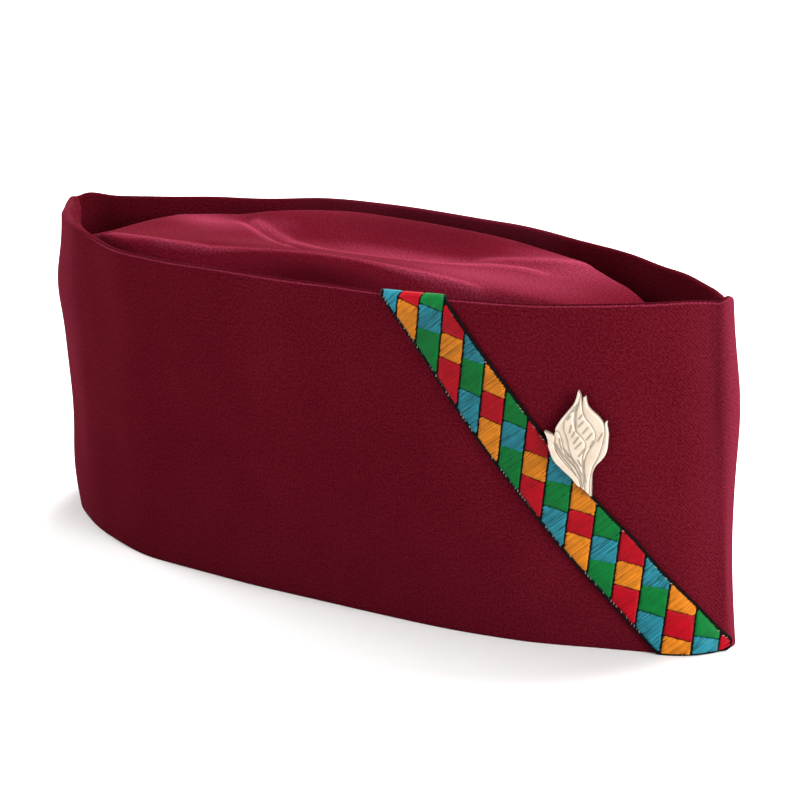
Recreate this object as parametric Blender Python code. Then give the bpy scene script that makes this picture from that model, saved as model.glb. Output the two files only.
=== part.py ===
"""A pahadi cap: a tall boat-shaped cloth band round a sunken soft crown, with a slanting
patchwork ribbon and a pressed flower badge on its near side.

The cap stands on its hem. +X points to the front crease and -Y to the near side, where the
ribbon is. The origin is on the ground, under the middle of the whole cap.
"""
import math
from collections import namedtuple

import bmesh
import bpy
import numpy as np
from mathutils import Matrix, Vector

MM = 0.001

# Band
BAND_LENGTH = 267.0 * MM
NEAR_DEPTH = 50.0 * MM
FAR_DEPTH = 43.5 * MM
CREASE_SHIFT = 1.25 * MM
BAND_HEIGHT = 100.0 * MM
BAND_WALL = 2.2 * MM
HEM_ROUNDING = 0.4 * MM
WAVE_DEPTH = 2.0 * MM

# Crown
CROWN_DROP = 22.0 * MM
CROWN_CLOTH = 1.8 * MM

# Ribbon
RIBBON_WIDTH = 16.6 * MM
RIBBON_THICKNESS = 1.0 * MM
RIBBON_TOP_REACH = 88.6 * MM
RIBBON_FOOT_REACH = 10.8 * MM
RIBBON_BOW = 2.7 * MM
RIBBON_END_REACH = 2.4 * MM
RIBBON_TUCK = 8.0 * MM

# Badge and its pin
BADGE_WIDTH = 17.6 * MM
BADGE_HEIGHT = 30.6 * MM
BADGE_PLATE = 0.7 * MM
BADGE_RELIEF = 1.3 * MM
BADGE_REACH = 42.2 * MM
BADGE_FOOT_HEIGHT = 45.8 * MM
PIN_RADIUS = 0.6 * MM
CLUTCH_RADIUS = 4.5 * MM
CLUTCH_THICKNESS = 2.5 * MM

# Clearances between pieces that lie on each other or pass through each other
SEAT_GAP = 0.3 * MM
PIN_CLEARANCE = 0.3 * MM

# Fineness of the meshes
STATIONS = 88
CROWN_COLUMNS = 20
RIM_STEPS = 5
OUTER_ROWS = 13
INNER_ROWS = 6
RIBBON_COLUMNS = 11
RIBBON_CROWDING = 1.4
PETAL_STEPS = 8
ROUND_SIDES = 16
SHARP_ANGLE = 50
MERGE_DISTANCE = 0.001 * MM
TURN_STEP = 0.01
REACH_SAMPLES = 2000

# The band's outer face at a place along its length, from the back crease to the front one.
# along: share of half the length. near and far: shares of the near and far depths.
Section = namedtuple("Section", "along near_rim near_hem far_rim far_hem")
SECTIONS = (
    Section(-0.994, 0.078, 0.078, 0.032, 0.032),
    Section(-0.980, 0.118, 0.114, 0.074, 0.074),
    Section(-0.940, 0.246, 0.262, 0.150, 0.160),
    Section(-0.880, 0.404, 0.440, 0.235, 0.250),
    Section(-0.800, 0.538, 0.586, 0.360, 0.370),
    Section(-0.620, 0.770, 0.792, 0.610, 0.600),
    Section(-0.400, 0.960, 0.910, 0.890, 0.845),
    Section(-0.150, 1.000, 0.905, 1.000, 0.930),
    Section(0.150, 0.920, 0.845, 0.972, 0.900),
    Section(0.420, 0.820, 0.766, 0.800, 0.750),
    Section(0.620, 0.674, 0.644, 0.598, 0.570),
    Section(0.780, 0.480, 0.462, 0.375, 0.370),
    Section(0.900, 0.268, 0.266, 0.190, 0.190),
    Section(0.975, 0.100, 0.100, 0.060, 0.060),
    Section(0.994, 0.071, 0.071, 0.024, 0.024),
)

# Soft bulges and hollows of the wall. turn: degrees round the loop from the front crease, by
# way of the far side. level: share of the height. push: share of the wave depth, outwards.
Wave = namedtuple("Wave", "turn level turn_spread level_spread push")
WAVES = (
    Wave(0, 0.70, 14, 0.17, 0.90),
    Wave(0, 0.27, 14, 0.15, -0.45),
    Wave(200, 0.77, 22, 0.12, 0.85),
    Wave(200, 0.38, 22, 0.16, -0.50),
    Wave(252, 0.40, 22, 0.25, -0.35),
    Wave(120, 0.45, 28, 0.25, -0.45),
    Wave(60, 0.35, 20, 0.22, 0.40),
)

# Small peaks and dips of the rim. rise: share of the band's height.
Peak = namedtuple("Peak", "turn spread rise")
PEAKS = (
    Peak(0, 6, 0.007),
    Peak(167, 8, 0.010),
    Peak(136, 20, -0.018),
    Peak(236, 14, -0.009),
    Peak(302, 22, -0.007),
)

# The crown's top across the cap at a place along it. ridge, valley and bulge: shares of the
# way from the near seam to the far one. Their _low: depth below the rim, shares of the drop.
CrownSection = namedtuple(
    "CrownSection", "along ridge ridge_low valley valley_low bulge bulge_low"
)
CROWN_SECTIONS = (
    CrownSection(-1.00, 0.33, 1.00, 0.55, 1.00, 0.78, 1.00),
    CrownSection(-0.90, 0.33, 0.80, 0.55, 0.82, 0.78, 0.85),
    CrownSection(-0.80, 0.30, 0.45, 0.55, 0.47, 0.78, 0.52),
    CrownSection(-0.70, 0.16, 0.18, 0.60, 0.19, 0.84, 0.24),
    CrownSection(-0.60, 0.15, 0.12, 0.78, 0.17, 0.90, 0.17),
    CrownSection(-0.47, 0.23, 0.08, 0.71, 0.19, 0.88, 0.11),
    CrownSection(-0.35, 0.28, 0.06, 0.60, 0.21, 0.88, 0.07),
    CrownSection(-0.05, 0.33, 0.05, 0.53, 0.19, 0.84, 0.03),
    CrownSection(0.25, 0.32, 0.05, 0.57, 0.16, 0.84, 0.03),
    CrownSection(0.50, 0.26, 0.08, 0.53, 0.12, 0.82, 0.07),
    CrownSection(0.68, 0.24, 0.17, 0.52, 0.18, 0.75, 0.18),
    CrownSection(0.80, 0.32, 0.45, 0.57, 0.45, 0.77, 0.48),
    CrownSection(0.90, 0.33, 0.80, 0.57, 0.80, 0.77, 0.82),
    CrownSection(1.00, 0.33, 1.00, 0.55, 1.00, 0.78, 1.00),
)

# Narrow creases and ridges on the crown, each a straight stretch. along: share of half the
# length. across: share of the far depth. lift: share of the drop. spread: share of far depth.
Fold = namedtuple("Fold", "from_along from_across to_along to_across lift spread")
FOLDS = (
    Fold(-0.60, 0.36, -0.36, 0.12, -0.055, 0.08),
    Fold(-0.36, 0.12, 0.20, 0.08, -0.040, 0.09),
    Fold(0.26, 0.18, 0.46, 0.42, 0.035, 0.11),
    Fold(0.37, 0.18, 0.58, -0.02, -0.050, 0.08),
    Fold(-0.72, -0.10, -0.44, 0.26, 0.030, 0.12),
)

# The badge's petals, each from its foot to its tip. side: share of the width, to the front.
# up: share of the height. left and right: how far its edges bulge, shares of the width.
# fullest: where it is widest, from foot to tip. height: share of the relief.
Petal = namedtuple("Petal", "foot_side foot_up tip_side tip_up left right fullest height")
PETALS = (
    Petal(0.20, 0.02, 0.489, 0.706, 0.14, 0.10, 0.60, 0.55),
    Petal(0.15, 0.04, 0.170, 0.935, 0.14, 0.32, 0.60, 0.75),
    Petal(0.11, 0.05, 0.057, 1.000, 0.46, 0.20, 0.42, 1.00),
    Petal(0.12, 0.03, -0.500, 0.595, 0.14, 0.12, 0.62, 0.80),
)
PETAL_TAPER = 2.6
PETAL_TOP = 0.55
PETAL_STAGGER = 0.05 * MM
EDGE_SHARE = 0.45

# Corners of the badge's stem, in shares of the width and the height, cut along the ribbon.
STEM = ((0.02, 0.085), (0.22, 0.0), (0.25, 0.28), (-0.04, 0.28))
STEM_RELIEF = 0.3


def clear_scene():
    """Removes every object that the scene starts with."""
    for old in list(bpy.data.objects):
        bpy.data.objects.remove(old, do_unlink=True)


def finish(name, colour, roughness, metallic=0.0):
    """A Principled material of one colour."""
    made = bpy.data.materials.new(name)
    made.use_nodes = True
    shader = made.node_tree.nodes["Principled BSDF"]
    shader.inputs["Base Color"].default_value = (*colour, 1.0)
    shader.inputs["Roughness"].default_value = roughness
    shader.inputs["Metallic"].default_value = metallic
    return made


def add_object(name, mesh, material, parent):
    """Links a mesh to the scene as a smooth object under the parent."""
    mesh.materials.append(material)
    mesh.shade_smooth()
    mesh.set_sharp_from_angle(angle=math.radians(SHARP_ANGLE))
    made = bpy.data.objects.new(name, mesh)
    bpy.context.scene.collection.objects.link(made)
    made.parent = parent
    return made


def mesh_from(name, points, faces):
    """A mesh with doubled points merged and its faces turned outwards."""
    build = bmesh.new()
    corners = [build.verts.new(Vector(point)) for point in points]
    for face in faces:
        build.faces.new([corners[index] for index in face])
    bmesh.ops.remove_doubles(build, verts=build.verts, dist=MERGE_DISTANCE)
    bmesh.ops.recalc_face_normals(build, faces=build.faces)
    made = bpy.data.meshes.new(name)
    build.to_mesh(made)
    build.free()
    return made


def curve_through(knots, values, places):
    """A smooth curve through the knots that never swings past them."""
    knots = np.asarray(knots, float)
    values = np.asarray(values, float)
    steps = np.diff(knots)
    slopes = np.diff(values) / steps
    before, after = slopes[:-1], slopes[1:]
    agree = before * after > 0
    total = np.where(agree, before + after, 1.0)
    inner = np.where(agree, 2 * before * after / total, 0.0)
    tangents = np.concatenate([slopes[:1], inner, slopes[-1:]])
    places = np.asarray(places, float)
    span = np.clip(np.searchsorted(knots, places, side="right") - 1, 0, len(steps) - 1)
    t = np.clip((places - knots[span]) / steps[span], 0.0, 1.0)
    start, end = values[span], values[span + 1]
    pull_start, pull_end = tangents[span] * steps[span], tangents[span + 1] * steps[span]
    return (
        start * (1 + 2 * t) * (1 - t) ** 2
        + pull_start * t * (1 - t) ** 2
        + end * t**2 * (3 - 2 * t)
        + pull_end * t**2 * (t - 1)
    )


def loop_knots(near, far):
    """Turns and signed widths of the sections round the whole loop, and one lap more each way."""
    turns = [math.acos(row.along) for row in SECTIONS]
    far_side = [(turn, getattr(row, far) * FAR_DEPTH) for turn, row in zip(turns, SECTIONS)]
    near_side = [
        (2 * math.pi - turn, -getattr(row, near) * NEAR_DEPTH)
        for turn, row in zip(turns, SECTIONS)
    ]
    creases = [(0.0, -CREASE_SHIFT), (math.pi, -CREASE_SHIFT)]
    lap = sorted(far_side + near_side + creases)
    knots = [(turn + 2 * math.pi * k, across) for k in (-1, 0, 1) for turn, across in lap]
    return np.array(knots).T


RIM_LOOP = loop_knots("near_rim", "far_rim")
HEM_LOOP = loop_knots("near_hem", "far_hem")


def outline(turn, level):
    """The outer face in plan, with no waves. turn goes round from the front crease."""
    rim = curve_through(*RIM_LOOP, turn)
    hem = curve_through(*HEM_LOOP, turn)
    along = BAND_LENGTH / 2 * np.cos(turn)
    return along, hem + (rim - hem) * level


def turn_gap(turn, degrees):
    """The shortest way round between a turn and a place in degrees, in degrees."""
    return (np.degrees(turn) - degrees + 180.0) % 360.0 - 180.0


def wave_push(turn, level):
    """How far the waves push the wall outwards."""
    push = np.zeros_like(turn)
    for wave in WAVES:
        sideways = turn_gap(turn, wave.turn) / wave.turn_spread
        upwards = (level - wave.level) / wave.level_spread
        push = push + wave.push * np.exp(-(sideways**2) - upwards**2)
    return push * WAVE_DEPTH


def rim_rise(turn):
    """How much taller the band is at its creases, as a factor."""
    rise = np.ones_like(turn)
    for peak in PEAKS:
        rise = rise + peak.rise * np.exp(-((turn_gap(turn, peak.turn) / peak.spread) ** 2))
    return rise


def wall_points(turn, height, inset):
    """Points of the wall, at a height above the hem and an inset from the outer face."""
    turn = np.asarray(turn, float)
    height = np.broadcast_to(np.asarray(height, float), turn.shape)
    level = np.clip(height / BAND_HEIGHT, 0.0, 1.0)
    x, y = outline(turn, level)
    ahead_x, ahead_y = outline(turn + TURN_STEP, level)
    behind_x, behind_y = outline(turn - TURN_STEP, level)
    out_x, out_y = ahead_y - behind_y, behind_x - ahead_x
    length = np.hypot(out_x, out_y)
    push = wave_push(turn, level) - inset
    return np.stack(
        [x + out_x / length * push, y + out_y / length * push, height * rim_rise(turn)], -1
    )


def over_rim(climb, lift):
    """Height and inset of the cloth's surface after a climb from the hem, over the rim and
    down inside. lift is how far outside that surface the place lies.
    """
    fold = BAND_WALL / 2
    shoulder = BAND_HEIGHT - fold
    if climb <= shoulder:
        return climb, -lift
    swing = (climb - shoulder) / fold
    if swing <= math.pi:
        reach = fold + lift
        return shoulder + reach * math.sin(swing), fold - reach * math.cos(swing)
    return shoulder - (climb - shoulder - math.pi * fold), BAND_WALL + lift


def turn_at(reach):
    """The turn of a place on the near side, by its distance along the wall from the front."""
    turns = np.linspace(2 * math.pi, math.pi, REACH_SAMPLES)
    x, y = outline(turns, np.full_like(turns, 0.5))
    reached = np.concatenate([[0.0], np.cumsum(np.hypot(np.diff(x), np.diff(y)))])
    return np.interp(reach, reached, turns)


def station_turns():
    """The turns at which the band's loop has its corners."""
    return np.arange(STATIONS) * 2 * math.pi / STATIONS


def outer_heights():
    """The heights at which the band's outer face has its corners, up to the rim's fold."""
    return np.linspace(HEM_ROUNDING, BAND_HEIGHT - BAND_WALL / 2, OUTER_ROWS)


def band_profile():
    """Heights and insets of the band's section, once round, from the hem up the outside."""
    fold = BAND_WALL / 2
    shoulder = BAND_HEIGHT - fold
    seam = BAND_HEIGHT - CROWN_DROP
    rows = [(0.0, HEM_ROUNDING)]
    rows += [(height, 0.0) for height in outer_heights()]
    swings = np.linspace(0, math.pi, RIM_STEPS + 1)[1:-1]
    rows += [(shoulder + fold * math.sin(a), fold - fold * math.cos(a)) for a in swings]
    rows += [(height, BAND_WALL) for height in (shoulder, (shoulder + seam) / 2)]
    rows += [(height, BAND_WALL) for height in np.linspace(seam, HEM_ROUNDING, INNER_ROWS)]
    rows += [(0.0, BAND_WALL - HEM_ROUNDING)]
    return rows


def make_band(parent):
    """The cloth band: one closed loop of wall with a folded rim and a flat hem."""
    turns = station_turns()
    rows = [wall_points(turns, height, inset) for height, inset in band_profile()]
    count = len(rows)
    faces = []
    for row in range(count):
        above = (row + 1) % count
        for station in range(STATIONS):
            beside = (station + 1) % STATIONS
            faces.append(
                (
                    row * STATIONS + station,
                    row * STATIONS + beside,
                    above * STATIONS + beside,
                    above * STATIONS + station,
                )
            )
    mesh = mesh_from("band", np.concatenate(rows), faces)
    cloth = finish("band_cloth", (0.120, 0.006, 0.020), 0.90)
    return add_object("band", mesh, cloth, parent)


def fold_lift(x, y):
    """How much the crown's narrow folds raise or lower a place."""
    lift = np.zeros_like(x)
    for fold in FOLDS:
        start = np.array([fold.from_along * BAND_LENGTH / 2, fold.from_across * FAR_DEPTH])
        end = np.array([fold.to_along * BAND_LENGTH / 2, fold.to_across * FAR_DEPTH])
        run = end - start
        share = ((x - start[0]) * run[0] + (y - start[1]) * run[1]) / (run @ run)
        held = np.clip(share, 0.0, 1.0)
        away = np.hypot(x - start[0] - held * run[0], y - start[1] - held * run[1])
        spread = fold.spread * FAR_DEPTH
        lift = lift + fold.lift * np.exp(-((away / spread) ** 2))
    return lift * CROWN_DROP


def crown_heights(along, shares):
    """Depths below the rim of one section of the crown, at shares of its width."""
    places = [row.along for row in CROWN_SECTIONS]

    def value(column):
        values = [getattr(row, column) for row in CROWN_SECTIONS]
        return float(curve_through(places, values, along))

    knots = [0.0, value("ridge"), value("valley"), value("bulge"), 1.0]
    lows = [1.0, value("ridge_low"), value("valley_low"), value("bulge_low"), 1.0]
    return curve_through(knots, lows, shares)


def crown_surface():
    """The crown's outer surface, a row of points for each section."""
    half = STATIONS // 2
    turns = station_turns()[: half + 1]
    seam = BAND_HEIGHT - CROWN_DROP
    inset = BAND_WALL + SEAT_GAP
    far = wall_points(turns, seam, inset)
    near = wall_points(2 * math.pi - turns, seam, inset)
    even = np.linspace(0.0, 1.0, CROWN_COLUMNS + 1)
    closer_at_ends = (1 - np.cos(math.pi * even)) / 2
    shares = (even + closer_at_ends) / 2
    surface = []
    for turn, near_end, far_end in zip(turns, near, far):
        row = near_end + (far_end - near_end) * shares[:, None]
        low = crown_heights(math.cos(turn), shares)
        row[:, 2] = BAND_HEIGHT - CROWN_DROP * low
        row[:, 2] += fold_lift(row[:, 0], row[:, 1]) * (1 - low)
        surface.append(row)
    return surface


def make_crown(parent):
    """The soft crown: a sunken cloth sheet, seated all round on the band's inner face."""
    surface = crown_surface()
    width = CROWN_COLUMNS + 1
    faces = []
    for row in range(len(surface) - 1):
        for column in range(CROWN_COLUMNS):
            corner = row * width + column
            faces.append((corner, corner + 1, corner + width + 1, corner + width))
    build = bmesh.new()
    corners = [build.verts.new(Vector(point)) for point in np.concatenate(surface)]
    for face in faces:
        build.faces.new([corners[index] for index in face])
    bmesh.ops.remove_doubles(build, verts=build.verts, dist=MERGE_DISTANCE)
    bmesh.ops.dissolve_degenerate(build, edges=build.edges, dist=MERGE_DISTANCE)
    mesh = bpy.data.meshes.new("crown")
    build.to_mesh(mesh)
    build.free()
    cloth = finish("crown_cloth", (0.200, 0.012, 0.035), 0.90)
    made = add_object("crown", mesh, cloth, parent)
    shell = made.modifiers.new("cloth", "SOLIDIFY")
    shell.thickness = CROWN_CLOTH
    shell.offset = -1.0
    return made


def ribbon_centre(climb):
    """Distance of the ribbon's middle from the front crease, after a climb from the hem."""
    share = climb / BAND_HEIGHT
    straight = RIBBON_FOOT_REACH + (RIBBON_TOP_REACH - RIBBON_FOOT_REACH) * share
    bow = 1 - (2 * share - 1) ** 2
    return straight + RIBBON_BOW * bow


def ribbon_half_span(climb):
    """Half of the ribbon's width measured level along the wall, where it slants."""
    slant = (ribbon_centre(climb + MM) - ribbon_centre(climb - MM)) / (2 * MM)
    return RIBBON_WIDTH / 2 * math.hypot(1.0, slant)


def ribbon_row(climb, lift):
    """One row of points across the ribbon, at a climb from the hem."""
    height, inset = over_rim(climb, lift)
    middle, half = ribbon_centre(climb), ribbon_half_span(climb)
    front = max(middle - half, RIBBON_END_REACH)
    back = middle + half
    shares = np.linspace(0.0, 1.0, RIBBON_COLUMNS) ** RIBBON_CROWDING
    return wall_points(turn_at(front + (back - front) * shares), height, inset)


def make_ribbon(parent):
    """The ribbon: a thin strip up the near wall, over the rim and tucked down inside."""
    fold = BAND_WALL / 2
    shoulder = BAND_HEIGHT - fold
    inside = shoulder + math.pi * fold
    heights = outer_heights()
    between = (heights[:-1] + heights[1:]) / 2
    climbs = np.concatenate(
        [
            [0.0],
            np.sort(np.concatenate([heights, between])),
            np.linspace(shoulder, inside, RIM_STEPS + 2)[1:],
            [inside + RIBBON_TUCK / 2, inside + RIBBON_TUCK],
        ]
    )
    under = [ribbon_row(climb, SEAT_GAP) for climb in climbs]
    over = [ribbon_row(climb, SEAT_GAP + RIBBON_THICKNESS) for climb in climbs]
    rings = [np.concatenate([low, high[::-1]]) for low, high in zip(under, over)]
    size = 2 * RIBBON_COLUMNS
    faces = [tuple(range(size)), tuple((len(rings) - 1) * size + k for k in range(size))]
    for row in range(len(rings) - 1):
        for k in range(size):
            beside = (k + 1) % size
            faces.append(
                (
                    row * size + k,
                    row * size + beside,
                    (row + 1) * size + beside,
                    (row + 1) * size + k,
                )
            )
    mesh = mesh_from("ribbon", np.concatenate(rings), faces)
    weave = finish("ribbon_weave", (0.020, 0.270, 0.330), 0.60)
    return add_object("ribbon", mesh, weave, parent)


def badge_frame():
    """Where the badge stands: its foot's middle on the plane of its back, with its axes."""
    middle_height = BADGE_FOOT_HEIGHT + BADGE_HEIGHT / 2
    step = BADGE_WIDTH / 2
    turns = turn_at(np.array([BADGE_REACH + step, BADGE_REACH - step, BADGE_REACH]))
    left, right, middle = wall_points(turns, middle_height, 0.0)
    above, below = wall_points(
        np.repeat(turns[2], 2),
        middle_height + np.array([BADGE_HEIGHT, -BADGE_HEIGHT]) / 2,
        0.0,
    )
    side = Vector(right - left).normalized()
    up = Vector(above - below).normalized()
    out = side.cross(up).normalized()
    up = out.cross(side)
    stand_off = SEAT_GAP + RIBBON_THICKNESS + SEAT_GAP
    foot = Vector(middle) + out * stand_off - up * BADGE_HEIGHT / 2
    frame = Matrix((side, up, out)).transposed().to_4x4()
    frame.translation = foot
    return frame


def petal_outline(petal, fullness):
    """Corners round one petal. fullness is 1 at its edge and less nearer to its rib."""
    foot = np.array([petal.foot_side * BADGE_WIDTH, petal.foot_up * BADGE_HEIGHT])
    tip = np.array([petal.tip_side * BADGE_WIDTH, petal.tip_up * BADGE_HEIGHT])
    run = tip - foot
    across = np.array([run[1], -run[0]]) / np.hypot(*run)
    share = np.linspace(0.0, 1.0, PETAL_STEPS + 1)
    rise, fall = PETAL_TAPER * petal.fullest, PETAL_TAPER * (1 - petal.fullest)
    widest = petal.fullest**rise * (1 - petal.fullest) ** fall
    bulge = share**rise * (1 - share) ** fall / widest
    along = 0.5 + (share - 0.5) * (1 + fullness) / 2
    rib = foot + run * along[:, None]
    right = rib + across * (fullness * petal.right * BADGE_WIDTH * bulge)[:, None]
    left = rib - across * (fullness * petal.left * BADGE_WIDTH * bulge)[:, None]
    return np.concatenate([right, left[-2:0:-1]])


def raised_plate(name, outer, inner, heights):
    """A plate with an upright edge, a sloping border and a flat top, as a mesh."""
    rings = []
    for ring, height in zip((outer, outer, inner), heights):
        rings.append(np.column_stack([ring, np.full(len(ring), height)]))
    size = len(outer)
    faces = [tuple(range(size)), tuple(range(2 * size, 3 * size))]
    for row in range(2):
        for k in range(size):
            beside = (k + 1) % size
            faces.append(
                (row * size + k, row * size + beside, (row + 1) * size + beside, (row + 1) * size + k)
            )
    return mesh_from(name, np.concatenate(rings), faces)


def make_badge(parent):
    """The badge: overlapping petals and a short stem, joined into one pressed piece."""
    frame = badge_frame()
    metal = finish("badge_metal", (0.780, 0.690, 0.560), 0.38, 0.9)
    stem = np.array(STEM) * [BADGE_WIDTH, BADGE_HEIGHT]
    middle = stem.mean(axis=0)
    inner = middle + (stem - middle) * PETAL_TOP
    heights = (0.0, BADGE_PLATE, BADGE_PLATE + STEM_RELIEF * BADGE_RELIEF)
    mesh = raised_plate("flower_badge", stem, inner, heights)
    mesh.transform(frame)
    badge = add_object("flower_badge", mesh, metal, parent)
    for number, petal in enumerate(PETALS):
        back = (number + 1) * PETAL_STAGGER
        crest = BADGE_PLATE + BADGE_RELIEF * petal.height
        edge = BADGE_PLATE + BADGE_RELIEF * petal.height * EDGE_SHARE
        outer, inner = petal_outline(petal, 1.0), petal_outline(petal, PETAL_TOP)
        shape = raised_plate("petal", outer, inner, (back, edge, crest))
        shape.transform(frame)
        cutter = add_object(f"petal_{number}", shape, metal, parent)
        cutter.hide_render = True
        cutter.display_type = "WIRE"
        union = badge.modifiers.new(f"petal_{number}", "BOOLEAN")
        union.operation = "UNION"
        union.solver = "EXACT"
        union.object = cutter
    return badge


def rod(name, radius, start, end, frame):
    """A round rod along the frame's third axis, between two places on it."""
    build = bmesh.new()
    bmesh.ops.create_cone(
        build,
        cap_ends=True,
        segments=ROUND_SIDES,
        radius1=radius,
        radius2=radius,
        depth=end - start,
    )
    bmesh.ops.translate(build, verts=build.verts, vec=(0.0, 0.0, (start + end) / 2))
    mesh = bpy.data.meshes.new(name)
    build.to_mesh(mesh)
    build.free()
    mesh.transform(frame)
    return mesh


def make_pin(parent, band):
    """The badge's post and clutch, one turned piece, and the hole that it needs in the band."""
    frame = badge_frame() @ Matrix.Translation((0.0, BADGE_HEIGHT / 2, 0.0))
    wall_face = -(SEAT_GAP + RIBBON_THICKNESS + SEAT_GAP)
    clutch_top = wall_face - BAND_WALL - SEAT_GAP
    clutch_bottom = clutch_top - CLUTCH_THICKNESS
    steel = finish("pin_steel", (0.600, 0.600, 0.620), 0.35, 1.0)
    profile = [
        (0.0, -SEAT_GAP),
        (PIN_RADIUS, -SEAT_GAP),
        (PIN_RADIUS, clutch_top),
        (CLUTCH_RADIUS, clutch_top),
        (CLUTCH_RADIUS, clutch_bottom),
        (0.0, clutch_bottom),
    ]
    build = bmesh.new()
    edge = [build.verts.new((radius, 0.0, height)) for radius, height in profile]
    links = [build.edges.new(pair) for pair in zip(edge[:-1], edge[1:])]
    bmesh.ops.spin(
        build,
        geom=edge + links,
        cent=(0.0, 0.0, 0.0),
        axis=(0.0, 0.0, 1.0),
        angle=2 * math.pi,
        steps=ROUND_SIDES,
    )
    bmesh.ops.remove_doubles(build, verts=build.verts, dist=MERGE_DISTANCE)
    bmesh.ops.recalc_face_normals(build, faces=build.faces)
    mesh = bpy.data.meshes.new("badge_pin")
    build.to_mesh(mesh)
    build.free()
    mesh.transform(frame)
    pin = add_object("badge_pin", mesh, steel, parent)

    hole = rod("pin_hole", PIN_RADIUS + PIN_CLEARANCE, clutch_top, -SEAT_GAP, frame)
    cutter = add_object("pin_hole", hole, steel, parent)
    cutter.hide_render = True
    cutter.display_type = "WIRE"
    cut = band.modifiers.new("pin_hole", "BOOLEAN")
    cut.operation = "DIFFERENCE"
    cut.solver = "EXACT"
    cut.object = cutter
    return pin


def centre_over_origin(parent, pieces):
    """Moves the whole cap so that the middle of its outline is over the origin."""
    places = np.array([corner.co for piece in pieces for corner in piece.data.vertices])
    middle = (places.min(axis=0) + places.max(axis=0)) / 2
    parent.location = (-middle[0], -middle[1], 0.0)


def main():
    clear_scene()
    cap = bpy.data.objects.new("cap", None)
    bpy.context.scene.collection.objects.link(cap)
    band = make_band(cap)
    crown = make_crown(cap)
    ribbon = make_ribbon(cap)
    badge = make_badge(cap)
    pin = make_pin(cap, band)
    centre_over_origin(cap, [band, crown, ribbon, badge, pin])


main()
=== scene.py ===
"""The looks of a pahadi cap: twill band and crown, silk patchwork ribbon and pressed badge.

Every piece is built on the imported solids' own frame, in metres. +X points to the front crease,
-Y to the near side with the ribbon, and the cap stands on its hem at height 0.
"""
import logging
import math
from collections.abc import Iterator, Sequence
from contextlib import contextmanager
from dataclasses import dataclass, field
from enum import Enum
from typing import NamedTuple

import bmesh
import bpy
import numpy as np
from mathutils import Matrix, Vector


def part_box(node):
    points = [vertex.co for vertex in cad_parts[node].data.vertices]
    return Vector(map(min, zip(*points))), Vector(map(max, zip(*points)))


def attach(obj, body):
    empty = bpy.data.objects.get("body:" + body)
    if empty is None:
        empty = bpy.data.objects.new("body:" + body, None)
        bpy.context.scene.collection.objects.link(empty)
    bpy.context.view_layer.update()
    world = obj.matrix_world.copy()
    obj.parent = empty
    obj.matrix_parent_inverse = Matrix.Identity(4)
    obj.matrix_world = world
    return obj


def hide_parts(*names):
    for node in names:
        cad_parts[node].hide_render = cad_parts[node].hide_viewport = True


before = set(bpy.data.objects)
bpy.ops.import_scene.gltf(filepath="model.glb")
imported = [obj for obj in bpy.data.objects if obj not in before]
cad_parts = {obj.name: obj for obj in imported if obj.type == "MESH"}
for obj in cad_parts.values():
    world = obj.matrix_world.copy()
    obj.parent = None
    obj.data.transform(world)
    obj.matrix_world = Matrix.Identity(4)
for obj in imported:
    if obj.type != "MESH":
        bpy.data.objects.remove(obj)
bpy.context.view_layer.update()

MM = 0.001
BODY = "root"
CLOTH_UV = "cloth"
FULL_TURN = 2 * math.pi
BLACK = (0.0, 0.0, 0.0)
SOFT_STEP = {"interpolation_type": "SMOOTHSTEP"}
NUMBER = {"data_type": "FLOAT"}
ATTRIBUTE_FIELDS = {"FLOAT": "value", "FLOAT_VECTOR": "vector", "FLOAT_COLOR": "color"}

log = logging.getLogger("pahadi_cap")

Colour = tuple[float, float, float]
Point2 = tuple[float, float]
Line = tuple[Point2, ...]


def light(red: int, green: int, blue: int) -> Colour:
    """The linear colour of a screen colour.

    Args:
        red: its red part, from 0 to 255.
        green: its green part.
        blue: its blue part.

    Returns:
        Its linear parts, from 0 to 1.
    """
    parts = np.array([red, green, blue]) / 255.0
    linear = np.where(parts <= 0.04045, parts / 12.92, ((parts + 0.055) / 1.055) ** 2.4)
    return tuple(float(part) for part in linear)


def curve_through(
    knots: Sequence[float], values: Sequence[float], places: np.ndarray | float
) -> np.ndarray:
    """A smooth curve through the knots that never swings past them.

    Args:
        knots: where the values are given, rising.
        values: the curve's value at each knot.
        places: where the curve is wanted.

    Returns:
        The curve's value at each place.
    """
    knots = np.asarray(knots, float)
    values = np.asarray(values, float)
    places = np.asarray(places, float)
    steps = np.diff(knots)
    slopes = np.diff(values) / steps
    before, after = slopes[:-1], slopes[1:]
    agree = before * after > 0
    total = np.where(agree, before + after, 1.0)
    inner = np.where(agree, 2 * before * after / total, 0.0)
    tangents = np.concatenate([slopes[:1], inner, slopes[-1:]])
    span = np.clip(np.searchsorted(knots, places, side="right") - 1, 0, len(steps) - 1)
    t = np.clip((places - knots[span]) / steps[span], 0.0, 1.0)
    start, end = values[span], values[span + 1]
    pull_start = tangents[span] * steps[span]
    pull_end = tangents[span + 1] * steps[span]
    return (
        start * (1 + 2 * t) * (1 - t) ** 2
        + pull_start * t * (1 - t) ** 2
        + end * t**2 * (3 - 2 * t)
        + pull_end * t**2 * (t - 1)
    )


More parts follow.
